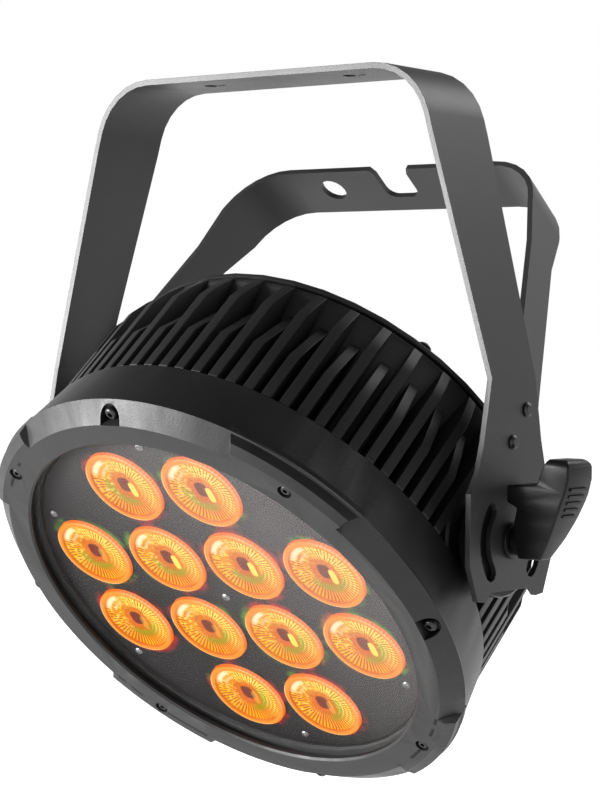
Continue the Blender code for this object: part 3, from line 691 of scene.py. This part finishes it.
    @staticmethod
    def place(piece: bpy.types.Object, matrix: Matrix) -> bpy.types.Object:
        """Moves a mesh, leaving its object at the origin."""
        piece.data.transform(matrix)
        piece.data.update()
        return piece

    @staticmethod
    def refined(node: str, width: float, segments: int = 2, angle: float = 30.0) -> bpy.types.Object:
        """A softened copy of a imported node's shape.

        Args:
            node: the node.
            width: bevel width in millimetres.
            segments: facets across the bevel.
            angle: edges sharper than this are bevelled.

        Returns:
            The copy, named for the node.
        """
        mesh = frame["nodes"][node].data.copy()
        mesh.materials.clear()
        piece = bpy.data.objects.new(f"{node}_finished", mesh)
        bpy.context.scene.collection.objects.link(piece)
        if mesh.has_custom_normals:
            Bench.only(piece)
            bpy.ops.mesh.customdata_custom_splitnormals_clear()

        def moves() -> None:
            """The edit-mode operators."""
            bpy.ops.mesh.remove_doubles(threshold=2e-6)
            bpy.ops.mesh.dissolve_limited(angle_limit=math.radians(0.6))

        Bench.edit(piece, moves)
        Bench.soften(piece, width, segments, angle)
        return piece


def arc(centre: Point, radius: float, start: float, end: float, steps: int) -> list[Point]:
    """Points along an arc, with angles in radians.

    Args:
        centre: the circle's middle.
        radius: its radius.
        start: the first angle, in radians.
        end: the last angle.
        steps: how many steps between them.

    Returns:
        The points, both ends included.
    """
    turns = [start + (end - start) * i / steps for i in range(steps + 1)]
    return [(centre[0] + radius * math.cos(t), centre[1] + radius * math.sin(t)) for t in turns]


def circle(centre: Point, radius: float, steps: int = 48) -> list[Point]:
    """Points round a circle.

    Args:
        centre: its middle.
        radius: its radius.
        steps: how many points.

    Returns:
        The points, anticlockwise.
    """
    return arc(centre, radius, 0, 2 * math.pi, steps)[:-1]


def shift(x: float = 0.0, y: float = 0.0, z: float = 0.0) -> Matrix:
    """A move in millimetres.

    Args:
        x: millimetres along X.
        y: millimetres along Y.
        z: millimetres along Z.

    Returns:
        The move, in metres.
    """
    return Matrix.Translation(Vector((x, y, z)) * MM)


def deliver(
    piece: bpy.types.Object,
    body: Body | str,
    nodes: Iterable[str],
    finish: bpy.types.Material,
) -> None:
    """Dresses a piece, makes it ride a body and hides the nodes it replaces.

    Args:
        piece: the piece.
        body: the body it rides.
        nodes: the nodes it replaces.
        finish: its material.
    """
    piece.data.materials.clear()
    piece.data.materials.append(finish)
    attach(piece, body.value if isinstance(body, Body) else body)
    if nodes:
        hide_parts(*nodes)
    LOG.info("%s: %d faces", piece.name, len(piece.data.polygons))


class Finishes:
    """Every finish, made once."""

    def __init__(self) -> None:
        """Makes the materials."""
        steel, cast, ring = (0.012, 0.012, 0.0124), (0.007, 0.007, 0.0075), (0.007, 0.007, 0.0074)
        black = (0.003, 0.003, 0.003)
        self.yoke = PowderCoat("yoke_powder", steel, 0.42, 1200.0, 0.00004, shine=0.42).material()
        self.casting = PowderCoat("casting_powder", cast, 0.46, 1000.0, 0.00004, shine=0.4).material()
        self.bezel = PowderCoat("bezel_powder", ring, 0.38, 1300.0, 0.00006, 0.25, 0.32).material()
        self.lever = Moulded("lever_plastic", black, 0.34, 1500.0, 0.00002, shine=0.18).material()
        self.disc = Moulded("disc_gloss", black, 0.25, 300.0, 0.000005, shine=0.15).material()
        self.rubber = Moulded("gasket_rubber", (0.015, 0.015, 0.015), 0.75, 1200.0).material()
        self.zinc = Plated("black_zinc", (0.045, 0.045, 0.047), 0.25).material()
        self.steel = Plated("dull_steel", (0.20, 0.20, 0.205), 0.3).material()
        self.brass = Plated("contact_brass", (0.75, 0.55, 0.25), 0.3).material()
        self.glass = ClearGlass().material()
        self.plate = PlateWithPaintedSpill().material()
        self.board = Moulded("board_mask", (0.02, 0.12, 0.06), 0.45).material()
        self.supply = Moulded("supply_block", (0.35, 0.35, 0.36), 0.5).material()
        self.blue = Moulded("inlet_blue", (0.02, 0.09, 0.42), 0.35).material()
        self.grey = Moulded("outlet_grey", (0.42, 0.42, 0.43), 0.35).material()
        self.dark_window = Moulded("display_dark", (0.01, 0.012, 0.012), 0.1, 200.0, 0.0, 0.6).material()


@dataclass
class Bezel:
    """The front ring that clamps the glass: flat face, chamfered stretches and four flush blocks."""

    finishes: Finishes
    face_z: float = 6.0
    opening_r: float = 93.5
    face_r: float = 104.2
    chamfer_r: float = 112.6
    chamfer_z: float = -0.5
    block_r: float = 111.5
    block_z: float = 4.1
    block_face_r: float = 107.3
    block_half: float = math.radians(14.2)
    block_lean: float = math.radians(2.0)
    pocket_half: float = 5.2
    skirt_r: float = 108.8
    skirt_z: float = -25.6
    inner_r: float = 100.8
    lip: float = 2.5
    screw_r: float = 107.2
    flat_screw_r: float = 103.0

    def ring(self) -> bpy.types.Object:
        """The bare ring, its flush blocks and its screw wells."""
        profile = [
            (self.opening_r + 0.9, self.face_z),
            (self.face_r, self.face_z),
            (self.chamfer_r, self.chamfer_z),
            (self.chamfer_r - 0.5, self.chamfer_z - 1.2),
            (self.skirt_r, self.skirt_z),
            (self.inner_r, self.skirt_z),
            (self.inner_r, self.face_z - self.lip),
            (self.opening_r, self.face_z - self.lip),
            (self.opening_r, self.face_z - 0.9),
        ]
        ring = Bench.turned("bezel", profile, 192)
        for quarter in range(4):
            Bench.combine(ring, self.block(math.pi / 2 * quarter + math.pi / 4), "UNION")
        for number in range(8):
            self.well(ring, number)
        return ring

    def block(self, middle: float) -> bpy.types.Object:
        """One flush block: a turned stretch with its own narrow chamfer and leaning ends.

        Args:
            middle: the angle of its middle.

        Returns:
            The block.
        """
        top, low = self.face_z, self.chamfer_z - 3.0
        profile = [(self.face_r - 1.4, top), (self.block_face_r, top), (self.block_r, self.block_z)]
        profile += [(self.chamfer_r - 0.3, low), (self.face_r - 1.4, low)]
        block = Bench.turned("block", profile, 192)
        half = self.block_half + self.block_lean
        sector = [(0, 0)] + arc((0, 0), 130, middle - half, middle + half, 18)
        wedge = Bench.cut_sheet("wedge", [sector], top + 1.0 - low, low - 0.5)
        for corner in wedge.data.vertices:
            if corner.co.z > low * MM:
                x, y = corner.co.x, corner.co.y
                spread = (math.atan2(y, x) - middle + math.pi) % (2 * math.pi) - math.pi
                turn = middle + spread * (self.block_half - self.block_lean * 0.3) / half
                reach = math.hypot(x, y)
                corner.co.x, corner.co.y = reach * math.cos(turn), reach * math.sin(turn)
        Bench.apply(block, "BOOLEAN", operation="INTERSECT", object=wedge, solver="EXACT")
        bpy.data.objects.remove(wedge)
        return block

    def well(self, ring: bpy.types.Object, number: int) -> None:
        """Cuts one screw's recess: an arched pocket in a chamfer, or a small counterbore in a block.

        Args:
            ring: the bezel.
            number: which screw, from 0.
        """
        turn = Matrix.Rotation(math.pi / 4 * number, 4, "Z")
        if number % 2 == 0:
            half, start = self.pocket_half, self.face_r - 0.2
            floor = self.face_z - 5.8
            arch = [(start, -half), (start, half)] + arc((106.0, 0), half, math.pi / 2, -math.pi / 2, 14)
            well = Bench.cut_sheet("pocket", [arch], 16, floor)
        else:
            floor = self.face_z - 2.4
            well = Bench.turned("well", [(0, 14), (3.1, 14), (3.1, floor), (0, floor)], 32)
            Bench.place(well, shift(self.flat_screw_r))
        Bench.combine(ring, Bench.place(well, turn))

    def screw(self, number: int) -> bpy.types.Object:
        """One round head with a socket, standing in its well."""
        deep = number % 2 == 0
        radius, size = (self.screw_r, 2.8) if deep else (self.flat_screw_r, 2.5)
        base = self.face_z - (5.6 if deep else 2.2)
        turn = math.pi / 4 * number
        high = 2.9 if deep else 1.7
        profile = [(0, high - 1.2), (size * 0.42, high - 1.2), (size * 0.42, high), (size * 0.7, high)]
        profile += arc((size - 1.2, high - 1.2), 1.2, math.pi / 2.5, 0, 4) + [(size, 0), (0, 0)]
        head = Bench.turned("head", profile, 28)
        Bench.soften(head, 0.0)
        return Bench.place(head, Matrix.Rotation(turn, 4, "Z") @ shift(radius, 0, base))

    def build(self) -> None:
        """Makes the ring and its eight screws."""
        ring = self.ring()

        def flatten() -> None:
            """The edit-mode operators."""
            bpy.ops.mesh.remove_doubles(threshold=4e-6)
            bpy.ops.mesh.dissolve_limited(angle_limit=math.radians(0.3))

        Bench.edit(ring, flatten)
        Bench.soften(ring, 0.4, 2, 20)
        Bench.place(ring, HEAD_PLACE)
        deliver(ring, Body.HEAD, ["bezel_ring"], self.finishes.bezel)
        for number in range(8):
            screw = Bench.place(self.screw(number), HEAD_PLACE)
            screw.name = f"bezel_screw_head_{number + 1}"
            words = {0: "right", 2: "top", 4: "left", 6: "bottom"}
            nodes = [f"bezel_screw_{words[number]}"] if number in words else []
            deliver(screw, Body.HEAD, nodes, self.finishes.zinc)


@dataclass
class Optics:
    """The glass, the plate behind it and the twelve lit lenses."""

    finishes: Finishes
    pitch: float = 42.0
    lens_r: float = 18.7
    lens_rise: float = 0.3
    plate_r: float = 91.8
    plate_z: float = -1.2
    plate_thick: float = 2.0
    glass_z: float = 0.6
    glass_thick: float = 2.6
    glass_r: float = 98.0
    screw_r: float = 86.0

    def spots(self) -> list[Point]:
        """The twelve lens centres, row by row from the top."""
        grid = [(c, r) for r in range(4) for c in range(4) if not (r in (0, 3) and c in (0, 3))]
        return [((c - 1.5) * self.pitch, (1.5 - r) * self.pitch) for c, r in grid]

    def lens(self, number: int, spot: Point) -> bpy.types.Object:
        """One lens: a flat rim and a smooth shallow bowl on a tapered back, with a UV map for its
        material's flutes and square well.

        Args:
            number: which lens.
            spot: its centre.

        Returns:
            The lens in head axes.
        """
        r = self.lens_r
        bowl = [(r * 0.84 * t, -1.9 + 0.9 * t * t) for t in (i / 12 for i in range(13))]
        rim = [(r * 0.86, -0.2), (r * 0.96, 0.0), (r, -0.5), (r, -2.8)]
        outside = [(r * 0.8, -5.2), (r * 0.55, -12.5), (6.2, -16.2), (0, -16.2)]
        lens = Bench.turned("lens", bowl + rim + outside, 60)
        lens.name = f"lens_lit_{number:02d}"
        sheet = lens.data.uv_layers.new(name="lens")
        for loop in lens.data.loops:
            at = lens.data.vertices[loop.vertex_index].co
            sheet.data[loop.index].uv = (at.x / MM / r / 2 + 0.5, at.y / MM / r / 2 + 0.5)
        Bench.soften(lens, 0.0)
        return Bench.place(lens, shift(*spot, self.lens_rise))

    def plate(self) -> bpy.types.Object:
        """The plate with its twelve rimmed holes."""
        holes = [circle(spot, self.lens_r + 0.3, 64) for spot in self.spots()]
        sheet = Bench.cut_sheet(
            "lens_plate_finished", [circle((0, 0), self.plate_r, 128), *holes], self.plate_thick,
            self.plate_z - self.plate_thick,
        )
        Bench.soften(sheet, 0.3, 2)
        grid = sheet.data.uv_layers.new(name="head")
        for loop in sheet.data.loops:
            at = sheet.data.vertices[loop.vertex_index].co
            grid.data[loop.index].uv = (at.x / MM / self.pitch, at.y / MM / self.pitch)
        return sheet

    def plate_screws(self) -> bpy.types.Object:
        """Seven small cross-head screws, one in the middle and six near the rim."""
        made = []
        for number in range(7):
            turn = math.radians(30 + 60 * number)
            far = 0.0 if number == 6 else self.screw_r
            spot = (far * math.cos(turn), far * math.sin(turn))
            dome = [(0, 0.9)] + [(1.7 * math.sin(t), 0.2 + 0.7 * math.cos(t)) for t in (0.5, 1.0, 1.4)]
            head = Bench.turned("head", dome + [(1.9, 0), (0, 0)], 24)
            for turn_slot in (0.3, 0.3 + math.pi / 2):
                slit = [(-1.1, -0.25), (1.1, -0.25), (1.1, 0.25), (-1.1, 0.25)]
                bar = Bench.cut_sheet("bar", [slit], 2, 0.45)
                Bench.combine(head, Bench.place(bar, Matrix.Rotation(turn_slot, 4, "Z")))
            Bench.soften(head, 0.0)
            made.append(Bench.place(head, shift(*spot, self.plate_z)))
        return Bench.join("lens_plate_screws", made)

    def build(self) -> None:
        """Makes the plate, the lenses and the pane."""
        plate = Bench.place(self.plate(), HEAD_PLACE)
        deliver(plate, Body.HEAD, ["lens_plate"], self.finishes.plate)
        deliver(Bench.place(self.plate_screws(), HEAD_PLACE), Body.HEAD, [], self.finishes.steel)
        for number, spot in enumerate(self.spots(), 1):
            bar = 0.25 if number in (3, 7, 8, 11, 12) else 1.0
            finish = LitLens(f"lens_lit_{number:02d}", 1.37 * number, bar).material()
            lens = Bench.place(self.lens(number, spot), HEAD_PLACE)
            deliver(lens, Body.HEAD, [f"lens_{number:02d}"], finish)
        low, high, r = self.glass_z, self.glass_z + self.glass_thick, self.glass_r
        half = [(0, high), (r - 0.8, high), (r, high - 0.8), (r, low), (0, low)]
        pane = Bench.turned("front_pane", half, 128)
        Bench.soften(pane, 0.0)
        deliver(Bench.place(pane, HEAD_PLACE), Body.HEAD, ["front_glass"], self.finishes.glass)


@dataclass
class HeatSink:
    """The finned casting behind the bezel: long and short fins in turn round a dished core."""

    finishes: Finishes
    fins: int = 84
    width: float = 4.5
    fin_r: float = 108.4
    front: float = -26.0
    valley_r: float = 92.0
    rear_z: float = -90.0
    rear_r: float = 101.8
    wall_z: float = -20.4
    pocket_r: float = 93.0
    rim_r: float = 100.4
    bay_r: float = 86.0
    boss_r: float = 20.5
    boss_x: float = 103.0

    def core(self) -> bpy.types.Object:
        """The turned core with its lens pocket and electronics bay."""
        profile = [
            (0, self.wall_z),
            (self.pocket_r, self.wall_z),
            (self.pocket_r, -2.0),
            (self.rim_r, -2.0),
            (self.rim_r, self.front - 1.5),
            (self.valley_r, self.front - 4.0),
        ]
        profile += [(self.valley_r + 9.8 * t * t, -52.0 - 35.0 * t) for t in (i / 6 for i in range(7))]
        profile += [(self.rear_r, self.rear_z + 0.8), (self.rear_r - 0.8, self.rear_z)]
        profile.append((self.bay_r, self.rear_z))
        profile += [(self.bay_r, self.wall_z - 5.6), (0, self.wall_z - 5.6)]
        return Bench.turned("core", profile, 168)

    def fin(self, straight_end: float, tip: Point, low_until: float | None = None) -> bpy.types.Object:
        """One fin standing on +x.

        Args:
            straight_end: where its outer edge starts to slope in.
            tip: its rear end as (radius, z).
            low_until: if set, the fin is cut low in front of this z, beside the side boss.

        Returns:
            The fin.
        """
        root = self.valley_r - 2.0
        front = [(root, self.front - 2.0), (self.fin_r - 0.6, self.front), (self.fin_r, self.front - 0.6)]
        if low_until is not None:
            low = self.boss_x - 1.0
            front = [(root, self.front - 2.0), (low, self.front), (low, low_until)]
            front.append((self.fin_r, low_until - 2.0))
        outline = front + [(self.fin_r, straight_end)]
        outline.append(((self.fin_r + tip[0]) / 2 + 0.5, (straight_end + tip[1]) / 2))
        outline += [tip, (root, tip[1] + 0.8)]
        if low_until is not None and low_until - 2.0 < straight_end:
            outline = front[:3] + [tip, (root, tip[1] + 0.8)]
        blade = Bench.cut_sheet("fin", [outline], self.width, -self.width / 2)
        sharp = math.radians(40)
        Bench.apply(blade, "BEVEL", width=0.0006, segments=2, limit_method="ANGLE", angle_limit=sharp)
        return Bench.place(blade, Matrix(((1, 0, 0, 0), (0, 0, -1, 0), (0, 1, 0, 0), (0, 0, 0, 1))))

    def blades(self) -> list[bpy.types.Object]:
        """Every fin, copied round from four shapes."""
        long_tip, short_tip = (self.rear_r + 0.8, -89.0), (self.valley_r + 4.5, -79.0)
        beside = -PIVOT_BACK - self.boss_r - 1.0
        shapes = {
            (True, False): self.fin(-71.4, long_tip),
            (False, False): self.fin(-50.0, short_tip),
            (True, True): self.fin(-71.4, long_tip, beside),
            (False, True): self.fin(-50.0, short_tip, beside),
        }
        made = []
        for number in range(self.fins):
            turn = 2 * math.pi * number / self.fins
            near_boss = abs(math.sin(turn)) * self.fin_r < self.boss_r + 1.0 + self.width / 2
            shape = shapes[(number % 2 == 1, near_boss)]
            copy = bpy.data.objects.new("fin", shape.data.copy())
            bpy.context.scene.collection.objects.link(copy)
            made.append(Bench.place(copy, Matrix.Rotation(turn, 4, "Z")))
        for shape in shapes.values():
            bpy.data.objects.remove(shape)
        return made

    def bosses(self) -> list[bpy.types.Object]:
        """The two round bosses that carry the pivot bolts, each with its bore."""
        made = []
        for side in Side:
            x, r = self.boss_x, self.boss_r
            profile = [(4.3, x), (r - 1.0, x), (r, x - 1.0), (r, 84.0), (4.3, 84.0)]
            boss = Bench.turned("boss", profile, 64)
            turn = Matrix.Rotation(side.value * math.pi / 2, 4, "Y")
            made.append(Bench.place(boss, shift(0, 0, -PIVOT_BACK) @ turn))
        return made

    def build(self) -> None:
        """Makes the casting as one piece."""
        casting = Bench.join("heat_sink", [self.core(), *self.blades(), *self.bosses()])
        Bench.soften(casting, 0.0)
        casting = Bench.place(casting, HEAD_PLACE)
        deliver(casting, Body.HEAD, ["body_casting"], self.finishes.casting)


@dataclass
class DoubleYoke:
    """The two bent steel straps and the screws that hold one to the other."""

    finishes: Finishes
    screws: tuple[str, ...] = ("left_lower", "left_upper", "right_lower", "right_upper")

    def build(self) -> None:
        """Makes the straps and screws."""
        for node in ("front_yoke", "rear_yoke"):
            strap = Bench.refined(node, 0.35, 2, 32)
            deliver(strap, Body.YOKE, [node], self.finishes.yoke)
        for word in self.screws:
            screw = Bench.refined(f"yoke_screw_{word}", 0.25, 2, 25)
            deliver(screw, Body.YOKE, [f"yoke_screw_{word}"], self.finishes.zinc)


@dataclass
class TiltJoint:
    """Discs, washers, bolts, stop pins and the two clamp levers on the tilt axis."""

    finishes: Finishes
    base: float = 122.4
    hub_r: float = 5.8
    width: float = 19.0
    length: float = 34.0
    out: float = 29.6
    foot: float = 6.8

    def lever(self, side: Side) -> bpy.types.Object:
        """A moulded lever: collar, stem and a ribbed paddle that leans outward.

        Args:
            side: which end of the tilt axis.

        Returns:
            The lever in the row frame.
        """
        inner, hub, far = self.base + 0.3, self.base + 14.0, self.base + self.out
        view = [(inner + 3.0, -self.foot), (hub, -self.foot), (hub + 5.6, 2.0), (far - 5.2, 11.5)]
        view += [(far - 1.6, 20.0), (far, 26.0)]
        view += arc((far - 3.5, self.length - 3.5), 3.5, 0.1, math.pi / 2, 4)
        view += [(far - 10.5, self.length), (hub + 1.0, 23.6), (inner + 1.0, 23.0), (inner + 1.0, 16.0)]
        view += [(inner + 5.5, 14.0), (inner + 3.0, 6.0)]
        half = self.width / 2
        arm = Bench.cut_sheet("arm", [view], self.width, -half)
        spoon = [(-3.4, -8.0), (3.4, -8.0), (5.8, -1.0), (8.2, 8.0), (half, 17.0), (half - 0.2, 26.0)]
        spoon += arc((half - 4.0, self.length - 3.6), 3.8, 0, math.pi / 2, 5)
        spoon += arc((4.0 - half, self.length - 3.6), 3.8, math.pi / 2, math.pi, 5)
        spoon += [(0.2 - half, 26.0), (-half, 17.0), (-8.2, 8.0), (-5.8, -1.0)]
        face = Bench.cut_sheet("spoon", [spoon], self.out + 4.0, 0)
        Bench.place(face, Matrix(((0, 0, 1, inner * MM), (0, 1, 0, 0), (1, 0, 0, 0), (0, 0, 0, 1))))
        Bench.tidy(face)
        Bench.apply(arm, "BOOLEAN", operation="INTERSECT", object=face, solver="EXACT")
        bpy.data.objects.remove(face)
        Bench.soften(arm, 1.1, 3, 24)
        upright = Matrix(((side.value, 0, 0, 0), (0, 0, 1, 0), (0, 1, 0, 0), (0, 0, 0, 1)))
        Bench.place(arm, upright)
        Bench.tidy(arm)
        round_hub = [(4.2, hub - 2), (self.hub_r, hub - 2), (self.hub_r, inner + 0.6)]
        round_hub += [(self.hub_r - 0.6, inner), (4.2, inner)]
        collar = Bench.turned("collar", round_hub, 48)
        Bench.soften(collar, 0.0)
        Bench.place(collar, Matrix.Rotation(side.value * math.pi / 2, 4, "Y"))
        made = [arm, collar, *self.ribs(side, far)]
        lever = Bench.join(f"clamp_lever_{side.word}_finished", made)
        return Bench.place(lever, Matrix.Translation(PIVOT))

    def ribs(self, side: Side, far: float) -> list[bpy.types.Object]:
        """Raised grip bars across the paddle's outer face.

        Args:
            side: which end of the tilt axis.
            far: how far out the paddle reaches.

        Returns:
            The bars, placed.
        """
        made = []
        lean = math.atan2(3.6, 8.5)
        for number in range(5):
            bar = [(-0.6, -4.6 - 0.4 * number), (0.6, -4.6 - 0.4 * number), (0.6, 4.6 + 0.4 * number)]
            bar.append((-0.6, 4.6 + 0.4 * number))
            rib = Bench.cut_sheet("rib", [bar], 1.0, -0.5)
            Bench.soften(rib, 0.3, 2)
            turn = Matrix.Rotation(side.value * (math.pi / 2 + lean), 4, "Y")
            step = 2.7 * number
            spot = shift(side.value * (far - 5.3 + step * math.tan(lean)), 0, 11.2 + step)
            made.append(Bench.place(rib, spot @ turn))
        return made

    def build(self) -> None:
        """Makes both ends of the axis."""
        for side in Side:
            word = side.word
            lever_body = Body.LEFT_LEVER if side is Side.LEFT else Body.RIGHT_LEVER
            deliver(self.lever(side), lever_body, [f"clamp_lever_{word}"], self.finishes.lever)
            for node, width, finish, slot in (
                (f"friction_disc_{word}", 0.8, self.finishes.disc, "gloss_black"),
                (f"knob_washer_{word}", 0.25, self.finishes.zinc, "zinc"),
                (f"pivot_bolt_{word}", 0.2, self.finishes.zinc, "zinc"),
                (f"tilt_stop_pin_{word}", 0.4, self.finishes.zinc, "zinc"),
            ):
                deliver(Bench.refined(node, width), Body.HEAD, [node], finish)


@dataclass
class RearPanel:
    """The rear cover with its display, buttons, sockets, fuse and safety loop."""

    finishes: Finishes
    face: float = -102.3
    display: tuple[float, float, float] = (56.0, 20.0, 32.0)
    power: tuple[float, float] = (22.0, -50.0)
    data: tuple[float, float] = (40.0, -14.0)

    def contacts(self, name: str, spot: Point, spread: float, floor: float, count: int) -> None:
        """A ring of contact pins on a socket's floor.

        Args:
            name: the piece's name.
            spot: the socket's middle.
            spread: the ring's radius.
            floor: the depth of the socket's floor.
            count: how many pins.
        """
        made = []
        for number in range(count):
            turn = 2 * math.pi * number / count + math.pi / 2
            pin = Bench.turned("pin", [(0, 0), (0.9, 0), (0.9, -6.2), (0.5, -7.0), (0, -7.0)], 16)
            Bench.soften(pin, 0.0)
            x, y = spot[0] + spread * math.cos(turn), spot[1] + spread * math.sin(turn)
            made.append(Bench.place(pin, shift(x, y, floor)))
        pins = Bench.join(name, made)
        deliver(Bench.place(pins, HEAD_PLACE), Body.HEAD, [], self.finishes.brass)

    def digits(self) -> None:
        """Four lit seven-bar digits behind the window."""
        bars = {"A": (0, 5, 0), "B": (2.4, 2.5, 1), "C": (2.4, -2.5, 1), "D": (0, -5, 0)}
        bars |= {"E": (-2.4, -2.5, 1), "F": (-2.4, 2.5, 1), "G": (0, 0, 0)}
        made = []
        for column, lit in enumerate(("ABCDEF", "ABCDEF", "BC", "ABGED")):
            for key in lit:
                x, y, upright = bars[key]
                half = (0.5, 2.0) if upright else (1.9, 0.5)
                outline = [(-half[0], -half[1]), (half[0], -half[1]), (half[0], half[1])]
                outline.append((-half[0], half[1]))
                bar = Bench.cut_sheet("bar", [outline], 0.2, 0)
                spot = shift(-(column - 1.5) * 9.0 - x, self.display[2] + y, self.face + 0.15)
                made.append(Bench.place(bar, spot))
        shown = Bench.join("display_digits", made)
        glow = Shader("display_glow")
        flicker = glow.noise(900.0, 1.0)
        colour = glow.mix(flicker, (0.9, 0.03, 0.02), (1.0, 0.10, 0.05))
        glow.set(Base_Color=colour, Emission_Color=colour, Roughness=0.3)
        glow.surface.inputs["Emission Strength"].default_value = 1.4
        deliver(Bench.place(shown, HEAD_PLACE), Body.HEAD, [], glow.material)

    def build(self) -> None:
        """Makes the rear of the head."""
        f = self.finishes
        rows = [("rear_cover", 0.5, f.casting, "casting"), ("display_window", 0.3, f.dark_window, "glass")]
        rows += [("power_inlet", 0.4, f.blue, "inlet_blue"), ("power_outlet", 0.4, f.grey, "outlet_grey")]
        rows += [(f"data_{w}", 0.4, f.lever, "plastic") for w in ("input", "output")]
        rows += [("fuse_cap", 0.4, f.lever, "plastic"), ("safety_loop", 0.2, f.zinc, "zinc")]
        rows += [(f"cover_screw_{n}", 0.25, f.zinc, "zinc") for n in range(1, 5)]
        for node, width, finish, slot in rows:
            deliver(Bench.refined(node, width), Body.HEAD, [node], finish)
        for number in range(1, 5):
            node = f"menu_button_{number}"
            deliver(Bench.refined(node, 0.35), f"{node}_cap", [node], f.lever)
        self.contacts("inlet_contacts", (-self.power[0], self.power[1]), 5.0, -84.4, 3)
        self.contacts("outlet_contacts", (self.power[0], self.power[1]), 5.0, -84.4, 3)
        self.contacts("data_in_contacts", (-self.data[0], self.data[1]), 4.2, -86.4, 3)
        self.contacts("data_out_contacts", (self.data[0], self.data[1]), 4.2, -86.4, 3)
        self.digits()
        for node, finish in (
            ("rear_gasket", f.rubber),
            ("glass_gasket", f.rubber),
            ("led_board", f.board),
            ("control_board", f.board),
            ("power_supply", f.supply),
        ):
            mesh = frame["nodes"][node].data
            mesh.materials.clear()
            mesh.materials.append(finish)


@dataclass
class Studio:
    """A pale sweep, soft lights and the camera."""

    lens: float = 103.54
    floor_z: float = -0.335
    ceiling: float = 0.10

    def sweep(self) -> None:
        """A pale floor."""
        bpy.ops.object.select_all(action="DESELECT")
        bpy.ops.mesh.primitive_plane_add(size=40, location=(0, 0, self.floor_z))
        floor = bpy.context.view_layer.objects.active
        floor.name = "floor"
        s = Shader("pale_floor")
        s.set(Base_Color=s.mix(s.noise(0.8, 1.0) * 0.3, (0.5, 0.5, 0.5), (0.47, 0.47, 0.47)), Roughness=0.9)
        s.surface.inputs["Emission Color"].default_value = (1, 1, 1, 1)
        s.surface.inputs["Emission Strength"].default_value = 0.92
        floor.data.materials.append(s.material)

    def surround(self) -> None:
        """A white room with a dark ceiling."""
        world = bpy.data.worlds.new("studio")
        bpy.context.scene.world = world
        world.use_nodes = True
        tree = world.node_tree
        way = tree.nodes.new("ShaderNodeTexCoord")
        parts = tree.nodes.new("ShaderNodeSeparateXYZ")
        fade = tree.nodes.new("ShaderNodeMapRange")
        fade.interpolation_type = "SMOOTHSTEP"
        limits = (("From Min", 0.16), ("From Max", 0.60), ("To Min", 1.0), ("To Max", self.ceiling))
        for name, value in limits:
            fade.inputs[name].default_value = value
        tree.links.new(way.outputs["Generated"], parts.inputs[0])
        tree.links.new(parts.outputs["Z"], fade.inputs["Value"])
        tree.nodes["Background"].inputs["Color"].default_value = (1, 1, 1, 1)
        tree.links.new(fade.outputs[0], tree.nodes["Background"].inputs["Strength"])

    def light(
        self, name: str, at: Point3, size: float, power: float, aim: Point3 = (0, -0.02, -0.2)
    ) -> None:
        """One soft square light aimed at the object.

        Args:
            name: the lamp's name.
            at: where it stands, in metres.
            size: its side.
            power: its watts.
            aim: what it faces.
        """
        data = bpy.data.lights.new(name, "AREA")
        data.shape = "RECTANGLE"
        data.size = size
        data.size_y = size
        data.energy = power
        lamp = bpy.data.objects.new(name, data)
        lamp.location = at
        lamp.rotation_euler = (Vector(aim) - Vector(at)).to_track_quat("-Z", "Y").to_euler()
        bpy.context.scene.collection.objects.link(lamp)

    def camera(self) -> None:
        """The camera in the view's place."""
        data = bpy.data.cameras.new("camera")
        data.lens = self.lens
        data.sensor_width = 36
        data.clip_start = 0.05
        data.clip_end = 60
        camera = bpy.data.objects.new("camera", data)
        right = Vector((0.7857, 0.6185, 0.0132))
        up = Vector((-0.0272, 0.0132, 0.9996))
        back = right.cross(up).normalized()
        up = back.cross(right).normalized()
        turn = Matrix((right.normalized(), up, back)).transposed()
        camera.matrix_world = Matrix.Translation((0.6243, -0.7796, -0.1130)) @ turn.to_4x4()
        bpy.context.scene.collection.objects.link(camera)
        bpy.context.scene.camera = camera

    def build(self) -> None:
        """Sets the stage."""
        bpy.context.scene.view_settings.view_transform = "Standard"
        self.surround()
        self.sweep()
        self.light("key", (-0.80, -1.0, -0.16), 0.75, 75)
        self.light("back", (0.5, 1.1, 0.9), 0.8, 10)
        self.camera()


def main() -> None:
    """Builds the light and its stage."""
    logging.basicConfig(level=logging.INFO, format="%(message)s")
    finishes = Finishes()
    for part in (DoubleYoke, HeatSink, Bezel, Optics, TiltJoint, RearPanel):
        LOG.info("building %s", part.__name__)
        part(finishes).build()
    Studio().build()
    bpy.context.view_layer.update()


if __name__ == "__main__":
    main()
